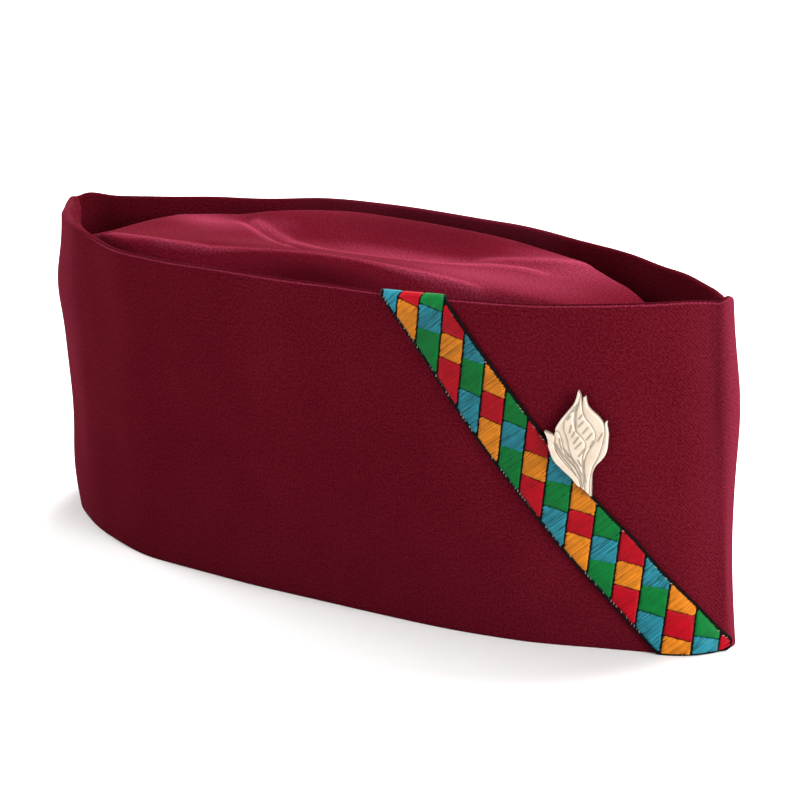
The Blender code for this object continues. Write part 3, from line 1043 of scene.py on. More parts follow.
    @staticmethod
    def _gap(turn: np.ndarray, degrees: float) -> np.ndarray:
        """The shortest way round between a turn and a place in degrees, in degrees."""
        return (np.degrees(turn) - degrees + 180.0) % 360.0 - 180.0

    def _push(self, turn: np.ndarray, level: np.ndarray) -> np.ndarray:
        """How far the waves push the wall outwards.

        Args:
            turn: the turns round the loop.
            level: the heights, from 0 to 1.

        Returns:
            The push at each place.
        """
        push = np.zeros_like(turn)
        for wave in self.waves:
            sideways = self._gap(turn, wave.turn) / wave.turn_spread
            upwards = (level - wave.level) / wave.level_spread
            push = push + wave.push * np.exp(-(sideways**2) - upwards**2)
        return push * self.wave_depth

    def _ripples(self, turn: np.ndarray, level: np.ndarray) -> np.ndarray:
        """The cloth's small unevenness: three ripples that never fall into step.

        Args:
            turn: the turns round the loop.
            level: the heights, from 0 to 1.

        Returns:
            How far outwards each place stands.
        """
        ripples = np.sin(7 * turn + 2.3 * np.sin(3.1 * level + 0.4))
        ripples = ripples + 0.7 * np.sin(13 * turn - 5.2 * level + 1.1)
        ripples = ripples + 0.5 * np.sin(23 * turn + 8.7 * level + 2.9)
        return ripples * self.ripple * np.clip(level * 5, 0.2, 1.0)

    def _thicker(self, turn: np.ndarray, level: np.ndarray) -> np.ndarray:
        """How many times as thick the cloth is: its fold is bulky at the back end of the rim.

        Args:
            turn: the turns round the loop.
            level: the heights, from 0 to 1.

        Returns:
            The factor at each place.
        """
        sideways = self._gap(turn, self.bulky_turn) / self.bulky_spread
        upwards = np.clip((level - self.bulky_level) / self.bulky_rise, 0.0, 1.0)
        return 1.0 + self.bulk * np.exp(-(sideways**2)) * upwards * upwards * (3 - 2 * upwards)

    def _rise(self, turn: np.ndarray, smooth: bool) -> np.ndarray:
        """How much taller the wall is at each turn.

        Args:
            turn: the turns round the loop.
            smooth: whether the rim's small ripples are left out.

        Returns:
            The factor at each turn.
        """
        rise = np.ones_like(turn)
        for peak in self.peaks:
            rise = rise + peak.rise * np.exp(-((self._gap(turn, peak.turn) / peak.spread) ** 2))
        if not smooth:
            small = np.sin(11 * turn + 0.7) + 0.6 * np.sin(19 * turn + 2.1)
            rise = rise + self.rim_ripple * small
        return rise

    def at(
        self, turn: np.ndarray, height: np.ndarray, inset: np.ndarray, smooth: bool = False
    ) -> np.ndarray:
        """Points at a height above the hem and an inset from the outer face.

        Args:
            turn: the turns round the loop.
            height: the heights above the hem.
            inset: how far inside the outer face the points lie.
            smooth: whether the cloth's small unevenness is left out.

        Returns:
            The points.
        """
        turn, height, inset = np.broadcast_arrays(
            np.asarray(turn, float), np.asarray(height, float), np.asarray(inset, float)
        )
        level = np.clip(height / self.height, 0.0, 1.0)
        x, y = self.outline(turn, level)
        ahead_x, ahead_y = self.outline(turn + self.turn_step, level)
        behind_x, behind_y = self.outline(turn - self.turn_step, level)
        out_x, out_y = ahead_y - behind_y, behind_x - ahead_x
        size = np.hypot(out_x, out_y)
        push = self._push(turn, level) - inset
        if not smooth:
            push = push + self._ripples(turn, level) - inset * (self._thicker(turn, level) - 1.0)
        spots = [x + out_x / size * push, y + out_y / size * push, height * self._rise(turn, smooth)]
        return np.stack(spots, -1) + np.array(self.origin)

    def points(
        self, turn: np.ndarray, climb: np.ndarray, lift: np.ndarray, smooth: bool = False
    ) -> np.ndarray:
        """Points after a climb from the hem, over the rim and down inside.

        Args:
            turn: the turns round the loop.
            climb: the way up along the cloth.
            lift: how far outside the cloth's surface the points lie.
            smooth: whether the cloth's small unevenness is left out.

        Returns:
            The points.
        """
        climb = np.asarray(climb, float)
        fold = self.thickness / 2
        shoulder = self.height - fold
        swing = np.clip((climb - shoulder) / fold, 0.0, math.pi)
        past = np.maximum(climb - shoulder - math.pi * fold, 0.0)
        height = np.minimum(climb, shoulder) + (fold + lift) * np.sin(swing) - past
        return self.at(turn, height, fold - (fold + lift) * np.cos(swing), smooth)

    def on_near(self, reach: np.ndarray, climb: np.ndarray, lift: np.ndarray) -> np.ndarray:
        """Points on the near side by their reach and climb."""
        return self.points(np.interp(reach, self.near_reaches, self.near_turns), climb, lift)

    def outwards(self, reach: np.ndarray, climb: np.ndarray) -> np.ndarray:
        """The cloth's outward direction on the near side."""
        way = self.on_near(reach, climb, 1 * MM) - self.on_near(reach, climb, 0.0)
        return way / np.linalg.norm(way, axis=-1, keepdims=True)

    def walked(self, turn: np.ndarray) -> np.ndarray:
        """The way round the wall from the front crease.

        Args:
            turn: the turns round the loop, less than 0 on the near side.

        Returns:
            The distance to each turn, less than 0 on the near side.
        """
        far = np.interp(turn, self.far_turns, self.far_reaches)
        near = np.interp(turn % FULL_TURN, self.near_turns[::-1], self.near_reaches[::-1])
        return np.where(turn >= 0, far, -near)


@dataclass
class Band:
    """The tall cloth wall with its folded rim and its hem."""

    wall: Wall
    finish: TwillFinish
    stations: int = 360
    outer_rows: int = 58
    inner_rows: int = 42
    fold_steps: int = 9
    fold_angle: float = math.radians(50)
    flat_length: float = 574.0 * MM
    hole_radius: float = 0.9 * MM
    hole_depth: float = 12.0 * MM
    hole_sides: int = 20

    def _profile(self) -> list[tuple[float, float, float]]:
        """The section of the cloth, once round from the hem.

        Returns:
            The height, inset and climb of each row.
        """
        wall = self.wall
        fold = wall.thickness / 2
        shoulder = wall.height - fold
        rounding = wall.hem_rounding
        rows = [(0.0, rounding, 0.0)]
        rows += [(h, 0.0, h) for h in np.linspace(rounding, shoulder, self.outer_rows)]
        for swing in np.linspace(0, math.pi, self.fold_steps + 1)[1:-1]:
            height = shoulder + fold * math.sin(swing)
            rows.append((height, fold - fold * math.cos(swing), shoulder + fold * swing))
        top = shoulder + math.pi * fold
        for height in np.linspace(shoulder, rounding, self.inner_rows):
            rows.append((height, wall.thickness, top + shoulder - height))
        rows.append((0.0, wall.thickness - rounding, top + shoulder))
        return rows

    def _mesh(self) -> bpy.types.Mesh:
        """The wall as one closed loop.

        Returns:
            The mesh, with no hole yet.
        """
        edges = np.linspace(-math.pi, math.pi, self.stations + 1)
        profile = self._profile()
        rows = [self.wall.at(edges[:-1], height, inset) for height, inset, _ in profile]
        climbs = [climb for _, _, climb in profile]
        climbs.append(climbs[-1] + self.wall.thickness)
        uv = np.stack(np.meshgrid(self.wall.walked(edges), climbs), -1)
        return grid_mesh("cloth_band", np.stack(rows), self.finish.material(), uv, True, True)

    def _drill(self, material: bpy.types.Material, place: Matrix) -> bpy.types.Object:
        """A cutter for the hole of the badge's post.

        Args:
            material: the cloth, for the hole's side.
            place: where the hole's middle is, and its way.

        Returns:
            The cutter.
        """
        mesh = bpy.data.meshes.new("post_hole")
        with editing(mesh) as build:
            bmesh.ops.create_cone(
                build, cap_ends=True, segments=self.hole_sides, radius1=self.hole_radius,
                radius2=self.hole_radius, depth=self.hole_depth,
            )
        mesh.materials.append(material)
        mesh.transform(place)
        return put("post_hole", mesh)

    def build(self, badge_place: Matrix) -> bpy.types.Object:
        """Builds the band with the hole that the badge's post goes through.

        Args:
            badge_place: the middle of the badge's back, and its way out.

        Returns:
            The band.
        """
        mesh = self._mesh()
        carrier = put("cloth_band_raw", mesh)
        cutter = self._drill(mesh.materials[0], badge_place)
        cut = carrier.modifiers.new("post_hole", "BOOLEAN")
        cut.operation = "DIFFERENCE"
        cut.solver = "EXACT"
        cut.object = cutter
        made = bake(carrier, "cloth_band")
        bpy.data.objects.remove(cutter, do_unlink=True)
        soften(made, self.fold_angle)
        band = wear("cloth_band", made, "band_cloth", "band")
        return band


class CrownSection(NamedTuple):
    """The crown's top across the cap at a place along it: places and depths of its forms."""

    along: float
    ridge: float
    ridge_low: float
    valley: float
    valley_low: float
    bulge: float
    bulge_low: float


class PaintedLightSpot(NamedTuple):
    """A soft spot of painted light on the crown: its place and spread in shares of the crown's
    size, and its strength, which is below 0 where it is painted shade."""

    along: float
    across: float
    long: float
    wide: float
    strength: float


class Crease(NamedTuple):
    """A narrow ridge or groove of the crown: its line in shares of the crown's size, its
    lift in shares of the drop, and its spread."""

    line: Line
    lift: float
    spread: float


@dataclass
class Crown:
    """The soft cloth crown, sunk inside the band."""

    wall: Wall
    finish: TwillFinish
    drop: float = 22.0 * MM
    cloth: float = 1.8 * MM
    seat_gap: float = 0.3 * MM
    rows: int = 270
    columns: int = 104
    even_share: float = 0.62
    crease_taper: float = 5.0 * MM
    # painted highlight along the raised creases: the least lift that gets it, its strength per lift and its
    # spread
    pale_lift: float = 0.02
    pale_per_lift: float = 7.0
    pale_spread: float = 0.035
    merge: float = 0.001 * MM
    flat: Point2 = (92.0 * MM, 262.0 * MM)
    flat_area: float = 0.0205
    sections: tuple[CrownSection, ...] = (
        CrownSection(-1.00, 0.33, 1.00, 0.55, 1.00, 0.78, 1.00),
        CrownSection(-0.90, 0.33, 0.50, 0.55, 0.50, 0.78, 0.54),
        CrownSection(-0.80, 0.30, 0.34, 0.55, 0.34, 0.78, 0.37),
        CrownSection(-0.70, 0.16, 0.17, 0.60, 0.17, 0.84, 0.19),
        CrownSection(-0.60, 0.15, 0.12, 0.78, 0.19, 0.90, 0.190),
        CrownSection(-0.47, 0.23, 0.08, 0.71, 0.18, 0.88, 0.10),
        CrownSection(-0.35, 0.28, 0.06, 0.60, 0.21, 0.88, 0.045),
        CrownSection(-0.05, 0.33, 0.05, 0.53, 0.19, 0.84, -0.022),
        CrownSection(0.25, 0.32, 0.05, 0.57, 0.16, 0.84, 0.022),
        CrownSection(0.50, 0.26, 0.08, 0.53, 0.12, 0.82, 0.07),
        CrownSection(0.68, 0.24, 0.17, 0.52, 0.18, 0.75, 0.18),
        CrownSection(0.80, 0.32, 0.49, 0.57, 0.49, 0.77, 0.52),
        CrownSection(0.90, 0.33, 0.80, 0.57, 0.80, 0.77, 0.82),
        CrownSection(1.00, 0.33, 1.00, 0.55, 1.00, 0.78, 1.00),
    )
    creases: tuple[Crease, ...] = (
        Crease(
            ((-0.70, -0.52), (-0.635, -0.583), (-0.458, -0.629), (-0.314, -0.592), (-0.195, -0.514),
             (-0.019, -0.418), (0.10, -0.40), (0.296, -0.435), (0.412, -0.472), (0.50, -0.51)),
            0.040, 0.035,
        ),
        Crease((
            (-0.54, 0.305), (-0.457, 0.20), (-0.35, 0.06), (-0.229, -0.133), (-0.12, -0.33),
        ), 0.032, 0.040),
        Crease(
            (
                (-0.51, 0.38), (-0.427, 0.27), (-0.347, 0.164), (-0.246, 0.03), (-0.125, -0.06),
                (0.016, -0.07), (0.105, -0.13), (0.193, -0.095), (0.261, 0.0), (0.329, 0.08),
                (0.427, 0.10), (0.535, 0.03),
            ),
            0.034, 0.042,
        ),
        Crease((
            (-0.56, 0.40), (-0.44, 0.235), (-0.35, 0.11), (-0.24, -0.05), (-0.10, -0.20),
        ), -0.050, 0.070),
        Crease(((-0.30, 0.16), (-0.10, 0.05), (0.05, 0.06), (0.20, 0.05)), -0.030, 0.100),
        Crease(((0.26, 0.15), (0.395, 0.25), (0.49, 0.318), (0.58, 0.36)), 0.030, 0.070),
        Crease(((0.37, 0.19), (0.47, 0.17), (0.58, 0.08)), -0.030, 0.070),
        Crease(((-0.72, -0.10), (-0.44, 0.20)), 0.020, 0.120),
    )
    # soft spots of painted light, and of painted shade where the strength is below 0
    painted_spots: tuple[PaintedLightSpot, ...] = (
        PaintedLightSpot(0.38, -0.22, 0.17, 0.32, 0.20),
        PaintedLightSpot(0.58, -0.16, 0.10, 0.26, 0.10),
        PaintedLightSpot(0.54, 0.28, 0.14, 0.22, 0.23),
        PaintedLightSpot(0.08, 0.08, 0.22, 0.10, 0.22),
        PaintedLightSpot(-0.52, 0.12, 0.10, 0.18, 0.15),
        PaintedLightSpot(-0.62, 0.22, 0.09, 0.14, 0.20),
        PaintedLightSpot(-0.38, 0.30, 0.08, 0.12, 0.07),
        PaintedLightSpot(0.34, 0.42, 0.11, 0.11, 0.10),
        PaintedLightSpot(0.06, 0.50, 0.28, 0.22, -0.22),
        PaintedLightSpot(0.03, -0.62, 0.22, 0.17, -0.50),
    )

    def _lows(self, along: float, shares: np.ndarray) -> np.ndarray:
        """Depths below the rim of one section.

        Args:
            along: the section's place, from -1 at the back to 1 at the front.
            shares: the places across it, from 0 at the near side to 1 at the far side.

        Returns:
            The depth at each place, in shares of the drop.
        """
        table = np.array(self.sections)
        ridge, ridge_low, valley, valley_low, bulge, bulge_low = (
            float(curve_through(table[:, 0], column, along)) for column in table.T[1:]
        )
        knots = [0.0, ridge, valley, bulge, 1.0]
        return curve_through(knots, [1.0, ridge_low, valley_low, bulge_low, 1.0], shares)

    def _on_crease(self, crease: Crease, x: np.ndarray, y: np.ndarray, spread: float) -> np.ndarray:
        """How strongly a crease marks each place.

        Args:
            crease: the crease.
            x: the places along the cap.
            y: the places across it.
            spread: how wide the mark is, in shares of the far side's depth.

        Returns:
            The mark: 1 on the crease's line, less beside it and at its ends.
        """
        half, depth = self.wall.length / 2, self.wall.far_depth
        line = [(along * half, across * depth) for along, across in crease.line]
        mark = np.exp(-((away_from(x, y, line) / (spread * depth)) ** 2))
        for end_x, end_y in (line[0], line[-1]):
            mark = mark * (1 - np.exp(-((x - end_x) ** 2 + (y - end_y) ** 2) / self.crease_taper**2))
        return mark

    def _crease_lift(self, x: np.ndarray, y: np.ndarray) -> np.ndarray:
        """How much the narrow creases raise or lower each place.

        Args:
            x: the places along the cap.
            y: the places across it.

        Returns:
            The lift at each place.
        """
        lift = np.zeros_like(x)
        for crease in self.creases:
            lift = lift + crease.lift * self._on_crease(crease, x, y, crease.spread)
        return lift * self.drop

    def _painted_light_share(self, x: np.ndarray, y: np.ndarray) -> np.ndarray:
        """The painted light and painted shade of each place: painted highlights along the raised creases,
        and soft spots of painted light and painted shade.

        Args:
            x: the places along the cap.
            y: the places across it.

        Returns:
            The share of the painted highlight colour. Less than 0 is painted shade, darker than the plain
            cloth.
        """
        half, depth = self.wall.length / 2, self.wall.far_depth
        painted_light = np.zeros_like(x)
        # painted highlights along the raised creases
        for crease in self.creases:
            if crease.lift > self.pale_lift:
                mark = self._on_crease(crease, x, y, self.pale_spread)
                painted_light = np.maximum(painted_light, self.pale_per_lift * crease.lift * mark)
        # soft spots of painted light and painted shade
        for spot in self.painted_spots:
            lengthways = (x / half - spot.along) / spot.long
            crossways = (y / depth - spot.across) / spot.wide
            painted_light = painted_light + spot.strength * np.exp(-(lengthways**2) - crossways**2)
        return painted_light

    def _plan(self, points: np.ndarray) -> tuple[np.ndarray, np.ndarray]:
        """Places along and across the cap, from the wall's middle."""
        return points[..., 0] - self.wall.origin.x, points[..., 1] - self.wall.origin.y

    def _surface(self) -> np.ndarray:
        """The crown's outer surface, with more of its rows near its two ends.

        Returns:
            A row of points for each section.
        """
        steps = np.linspace(0.0, 1.0, self.rows + 1)
        places = self.even_share * steps + (1 - self.even_share) * eased(steps)
        turns = np.arccos(np.clip(1 - 2 * places, -1.0, 1.0))
        seam = self.wall.height - self.drop
        inset = self.wall.thickness + self.seat_gap
        far = self.wall.at(turns, seam, inset)
        near = self.wall.at(FULL_TURN - turns, seam, inset)
        even = np.linspace(0.0, 1.0, self.columns + 1)
        shares = (even + eased(even)) / 2
        surface = []
        for turn, near_end, far_end in zip(turns, near, far):
            row = near_end + (far_end - near_end) * shares[:, None]
            low = self._lows(math.cos(turn), shares)
            row[:, 2] = self.wall.height - self.drop * low
            row[:, 2] += self._crease_lift(*self._plan(row)) * (1 - low)
            surface.append(row)
        return np.array(surface)

    def build(self, band: bpy.types.Object) -> bpy.types.Object:
        """Builds the crown.

        Args:
            band: the band that it is sewn into; not used.

        Returns:
            The crown.
        """
        surface = self._surface()
        mesh = grid_mesh("cloth_crown", surface, self.finish.material(), surface[..., :2])
        # the crown's painted highlights and painted shade, read by its finish
        keep_values(mesh, "painted_light", "FLOAT", self._painted_light_share(*self._plan(surface)))
        with editing(mesh) as build:
            bmesh.ops.remove_doubles(build, verts=build.verts, dist=self.merge)
            bmesh.ops.dissolve_degenerate(build, edges=build.edges, dist=self.merge)
        carrier = put("cloth_crown_raw", mesh)
        shell = carrier.modifiers.new("cloth", "SOLIDIFY")
        shell.thickness = self.cloth
        shell.offset = -1.0
        crown = wear("cloth_crown", bake(carrier, "cloth_crown"), "crown_cloth", "crown")
        return crown


class SilkShade(NamedTuple):
    """A silk's colour, the share of its threads that lie short, and how much they differ."""

    colour: Colour
    short_share: float
    spread: float


class Silk(Enum):
    """The ribbon's silks."""

    TEAL = SilkShade(light(30, 104, 117), 0.20, 0.42)
    RED = SilkShade(light(140, 0, 17), 0.02, 0.10)
    ORANGE = SilkShade(light(174, 103, 20), 0.12, 0.28)
    GREEN = SilkShade(light(0, 92, 37), 0.02, 0.14)


class Row(Enum):
    """Which of a column's three patches a patch is."""

    FRONT = 0
    MIDDLE = 1
    BACK = 2


class Edge(Enum):
    """One of the ribbon's two long edges, and its side of the middle."""

    FRONT = -1
    BACK = 1


@dataclass
class Patch:
    """One silk patch: its silk, and its corners' grid in reach and climb."""

    silk: Silk
    grid: np.ndarray

    def outline(self) -> np.ndarray:
        """The patch's border, once round."""
        g = self.grid
        return np.concatenate([g[0, :-1], g[:-1, -1], g[-1, :0:-1], g[:0:-1, 0]])


@dataclass
class Ribbon:
    """The woven ribbon: dark ground, silk patches, satin threads, dark edging and whip stitches.

    The tables give millimetres, or a painted brightness, against millimetres of climb.
    """

    wall: Wall
    width: float = 16.6 * MM
    flat_length: float = 142.0 * MM
    top_reach: float = 88.6 * MM
    foot_reach: float = 10.8 * MM
    bow: float = 2.7 * MM
    end_reach: float = 1.4 * MM
    tuck: float = 8.0 * MM
    seat: float = 0.3 * MM
    ground: float = 0.62 * MM
    patch_top: float = 1.16 * MM
    front_border: float = 0.92 * MM
    back_border: float = 1.12 * MM
    edging: float = 0.84 * MM
    front_rounding: float = 2.6 * MM
    back_rounding: float = 1.6 * MM
    first_column: int = -2
    last_column: int = 15
    column_start: float = 2.4 * MM
    column_step: float = 7.8 * MM
    divider_lean: float = 0.165
    crisp_drop: float = 2.1 * MM
    blend_drop: float = 1.2 * MM
    # painted light on the silks by climb: brighter near the foot and on the rim's fold
    painted_brightness: Line = (
        (0, 1.26), (30, 1.08), (60, 0.92), (94, 0.86), (98.5, 1.25), (101, 1.45), (130, 1.4),
    )
    flat_on_rim: float = 0.45
    divider_flare: Line = ((-20, 0), (80, 0), (88, 0.4), (96, 1.4), (104, 1.9), (130, 2.0))
    upper_rise: Line = (
        (-20, 3.6), (2.4, 3.4), (10.2, 2.8), (18, 1.8), (30, 1.0), (41.4, 0.6), (49.2, 0.9), (57, 1.6),
        (64.8, 2.0), (72.6, 2.3), (80.4, 3.2), (88.2, 2.5), (96, 2.45), (103.8, 1.4), (130, 1.4),
    )
    lower_rise: Line = (
        (-20, 2.2), (2.4, 1.5), (10.2, 0.3), (18, -0.1), (26, 0.2), (33, -0.5), (41.4, -0.7),
        (49.2, 0.0), (57, 0.9), (64.8, 0.3), (72.6, 0.1), (80.4, 1.0), (88.2, 1.9), (96, 1.1),
        (104, 2.0), (130, 2.0),
    )
    back_flare: Line = (
        (-20, 0.2), (0, 0.3), (14, 0.9), (31, 1.4), (43, 0.9), (58, 1.2), (67, 1.1), (80, 0.3),
        (88, 0.4), (100, 1.6), (130, 1.6),
    )
    front_flare: Line = (
        (-20, -1.6), (0, -1.6), (7, -1.4), (14, -1.2), (24, -0.5), (33, -1.0), (38, -0.4), (45, 0.1),
        (54, 0.05), (61, -0.3), (68, -0.7), (75, -0.8), (84, -0.35), (100, 0.0), (130, 0.0),
    )
    divider_gap: float = 0.34 * MM
    crisp_gap: float = 0.25 * MM
    blend_gap: float = 0.0
    spare_climb: float = 12.0 * MM
    climb_samples: int = 800
    rim_press: float = 2.4 * MM
    ground_inset: float = 0.12 * MM
    ground_starts: Point2 = (0.15 * MM, 1.2 * MM)
    ground_rows: int = 120
    ground_columns: int = 13
    fold_angle: float = math.radians(50)
    patch_steps: int = 12
    patch_clearance: float = 0.03 * MM
    patch_under_threads: float = 0.1 * MM
    patch_sink: float = 0.2 * MM
    patch_end: float = 0.3 * MM
    patch_edge_rise: float = 3.0
    least_patch: float = 0.8 * MM
    foot_climb: float = 0.5 * MM
    foot_share: float = 0.7
    merge: float = 0.002 * MM
    thread_seed: int = 7
    thread_pitch: float = 0.35 * MM
    thread_width: float = 0.44 * MM
    thread_way: Point2 = (-0.79, 0.61)
    shortest_thread: float = 0.3 * MM
    short_cut: Point2 = (0.15, 0.6)
    overshoot: Point2 = (-0.04, 0.16)
    thread_sway: float = 0.05 * MM
    thread_rise: float = 0.03 * MM
    thread_sink: float = 0.08 * MM
    end_clearance: float = 0.4 * MM
    edging_sink: float = 0.12 * MM
    border_samples: int = 240
    whip_start: float = 4.0 * MM
    whip_lift: float = 0.16 * MM
    whip_slant: float = 0.9
    cycle: tuple[tuple[Silk, Silk], ...] = (
        (Silk.ORANGE, Silk.RED),
        (Silk.TEAL, Silk.GREEN),
        (Silk.RED, Silk.ORANGE),
        (Silk.GREEN, Silk.TEAL),
    )

    def __post_init__(self) -> None:
        """Works out the longest climb."""
        fold = self.wall.thickness / 2
        self.top_climb = self.wall.height - fold + math.pi * fold + self.tuck
        self.climbs = np.linspace(-self.spare_climb, self.top_climb + self.spare_climb, self.climb_samples)

    def centre(self, climb: np.ndarray) -> np.ndarray:
        """The reach of the ribbon's middle.

        Args:
            climb: the climbs at which it is wanted.

        Returns:
            The reach at each climb.
        """
        share = climb / self.wall.height
        straight = self.foot_reach + (self.top_reach - self.foot_reach) * share
        return straight + self.bow * (1 - (2 * share - 1) ** 2)

    def edge_reach(self, climb: np.ndarray, edge: Edge, inwards: float) -> np.ndarray:
        """The reach of an edge, or of a line beside it.

        Args:
            climb: the climbs at which it is wanted.
            edge: which edge.
            inwards: how far inside the edge the line is.

        Returns:
            The reach at each climb.
        """
        slant = (self.centre(climb + MM) - self.centre(climb - MM)) / (2 * MM)
        level = (self.width / 2 - inwards) * np.hypot(1.0, slant)
        flare = self._read(self.back_flare if edge is Edge.BACK else self.front_flare, climb)
        return np.maximum(self.centre(climb) + edge.value * level + flare, self.end_reach + inwards)

    @staticmethod
    def _read(table: Line, climb: np.ndarray | float) -> np.ndarray:
        """A table's value at a climb, in metres as the climb is."""
        knots = np.array(table) * MM
        return np.interp(climb, knots[:, 0], knots[:, 1])

    def _painted_brightness(self, climb: float) -> float:
        """The painted light on the silks at a climb: painted brighter near the foot and on the fold of the
        rim.
        """
        return float(self._read(self.painted_brightness, climb)) / MM

    def _on_wall(self, reach: np.ndarray, climb: np.ndarray, lift: np.ndarray) -> np.ndarray:
        """Points on the near side. The ribbon is pressed flat where it goes over the rim.

        Args:
            reach: the distances from the front crease.
            climb: the climbs from the hem.
            lift: how far outside the cloth's surface the points lie.

        Returns:
            The points.
        """
        crest = self.wall.height + (math.pi / 2 - 1) * self.wall.thickness / 2
        flat = np.exp(-(((climb - crest) / self.rim_press) ** 2))
        return self.wall.on_near(reach, climb, lift * (1 - self.flat_on_rim * flat))

    @staticmethod
    def _rounded(away: np.ndarray | float, radius: float) -> np.ndarray:
        """How far a rounded corner stands back from one of its sides, at a place away from the other."""
        turn = np.clip(radius - away, 0.0, radius)
        return radius - np.sqrt(radius**2 - turn**2)

    def _ground_mesh(self, material: bpy.types.Material) -> bpy.types.Mesh:
        """The dark ground strip, closed all round.

        Args:
            material: its material.

        Returns:
            The mesh.
        """
        first, second = self.ground_starts
        climbs = np.concatenate([[first], np.linspace(second, self.top_climb, self.ground_rows)])
        shares = np.linspace(0.0, 1.0, self.ground_columns)
        rows = []
        for climb in climbs:
            front = self.edge_reach(climb, Edge.FRONT, self.ground_inset)
            front = front + self._rounded(climb, self.front_rounding)
            reach = front + (self.edge_reach(climb, Edge.BACK, self.ground_inset) - front) * shares
            under = self._on_wall(reach, climb, self.seat)
            over = self._on_wall(reach, climb, self.seat + self.ground)
            rows.append(np.concatenate([under, over[::-1]]))
        around = np.concatenate([shares, shares[::-1], [0.0]]) * self.width
        uv = np.stack(np.meshgrid(around, climbs), -1)
        mesh = grid_mesh("ribbon_ground", np.array(rows), material, uv, around=True)
        with editing(mesh) as build:
            open_edges = [edge for edge in build.edges if edge.is_boundary]
            bmesh.ops.holes_fill(build, edges=open_edges, sides=0)
            bmesh.ops.recalc_face_normals(build, faces=build.faces)
        soften(mesh, self.fold_angle)
        return mesh

    def _crossing(self, number: int) -> float:
        """The climb at which a dark dividing line crosses the ribbon's middle."""
        return self.column_start + self.column_step * number

    def _divider(self, number: int, climb: np.ndarray | float) -> np.ndarray:
        """The reach of a dark dividing line.

        Args:
            number: the line's number, from the foot up.
            climb: the climbs at which it is wanted.

        Returns:
            The reach at each climb.
        """
        crossing = self._crossing(number)
        flare = self._read(self.divider_flare, crossing)
        return self.centre(crossing) + flare + self.divider_lean * (crossing - climb)

    def _across(self, share: float, column: int, climb: np.ndarray | float) -> np.ndarray:
        """The reach of a line inside a column, at a share of the way from its left to its right."""
        left, right = self._divider(column + 1, climb), self._divider(column, climb)
        return left + (right - left) * share

    def _climb_at(self, share: float, column: int, target: np.ndarray) -> float:
        """The climb at which a line inside a column meets an edge's reach."""
        gap = self._across(share, column, self.climbs) - target
        return float(np.interp(0.0, -gap, self.climbs))

    def _silks(self, column: int) -> tuple[Silk, Silk]:
        """The silk of a column's two outer patches, and that of its middle one."""
        return self.cycle[column % len(self.cycle)]

    def _join(self, first: Silk, second: Silk) -> Point2:
        """How much a join of two silks slants, and half of its gap. Teal and green blend."""
        blends = (first, second) == (Silk.TEAL, Silk.GREEN)
        return (self.blend_drop, self.blend_gap) if blends else (self.crisp_drop, self.crisp_gap)

    def patches(self) -> list[Patch]:
        """Lays every patch of the ribbon out on the wall.

        Returns:
            The patches, column by column from the foot.
        """
        found = []
        for column in range(self.first_column, self.last_column + 1):
            outer, middle = self._silks(column)
            for row in Row:
                grid = self._patch_grid(column, row)
                if grid is not None:
                    found.append(Patch(middle if row is Row.MIDDLE else outer, grid))
        return found

    def _patch_span(
        self, column: int, row: Row, share: float, front: np.ndarray, back: np.ndarray
    ) -> tuple[float, float]:
        """The lowest and the highest climb of a patch, on a line inside its column.

        Args:
            column: the number of its column.
            row: which of the column's patches it is.
            share: the line's share of the way from the column's left to its right.
            front: the reach of the silk's front end.
            back: the reach of its back end.

        Returns:
            The two climbs.
        """
        outer, middle = self._silks(column)
        upper_drop, upper_gap = self._join(outer, middle)
        lower_drop, lower_gap = self._join(middle, outer)
        left_cross, right_cross = self._crossing(column + 1), self._crossing(column)
        upper = left_cross + self._read(self.upper_rise, left_cross) - upper_drop * share
        lower = right_cross + self._read(self.lower_rise, right_cross) + lower_drop * (1 - share)
        front_end, back_end = self._climb_at(share, column, front), self._climb_at(share, column, back)
        upper, lower = min(upper, front_end), max(lower, back_end)
        spans = {
            Row.FRONT: (upper + upper_gap, front_end),
            Row.MIDDLE: (lower + lower_gap, upper - upper_gap),
            Row.BACK: (back_end, lower - lower_gap),
        }
        low, high = spans[row]
        left, right = self._divider(column + 1, self.foot_climb), self._divider(column, self.foot_climb)
        beside = left * (1 - share) + right * share
        beside = beside - self.end_reach - self.front_border * self.foot_share
        foot = self.edging * self.foot_share + self._rounded(beside, self.front_rounding)
        return max(low, foot), min(high, self.top_climb - self.patch_end)

    def _patch_grid(self, column: int, row: Row) -> np.ndarray | None:
        """A patch's grid of reaches and climbs, or nothing where it has no room.

        Args:
            column: the number of its column.
            row: which of the column's patches it is.

        Returns:
            Steps up by steps across by 2, or None.
        """
        front = self.edge_reach(self.climbs, Edge.FRONT, self.front_border)
        back = self.edge_reach(self.climbs, Edge.BACK, self.back_border)
        left = self._divider(column + 1, self._crossing(column + 1))
        right = self._divider(column, self._crossing(column))
        margin = self.divider_gap / max(left - right, MM)
        columns = []
        for share in np.linspace(margin, 1 - margin, self.patch_steps):
            low, high = self._patch_span(column, row, share, front, back)
            climbs = np.linspace(low, max(high, low), self.patch_steps)
            reach = np.maximum(self._across(share, column, climbs), self.end_reach + self.front_border)
            columns.append(np.stack([reach, climbs], -1))
        grid = np.stack(columns, 1)
        heights = grid[-1, :, 1] - grid[0, :, 1]
        return grid if heights.max() >= self.least_patch else None

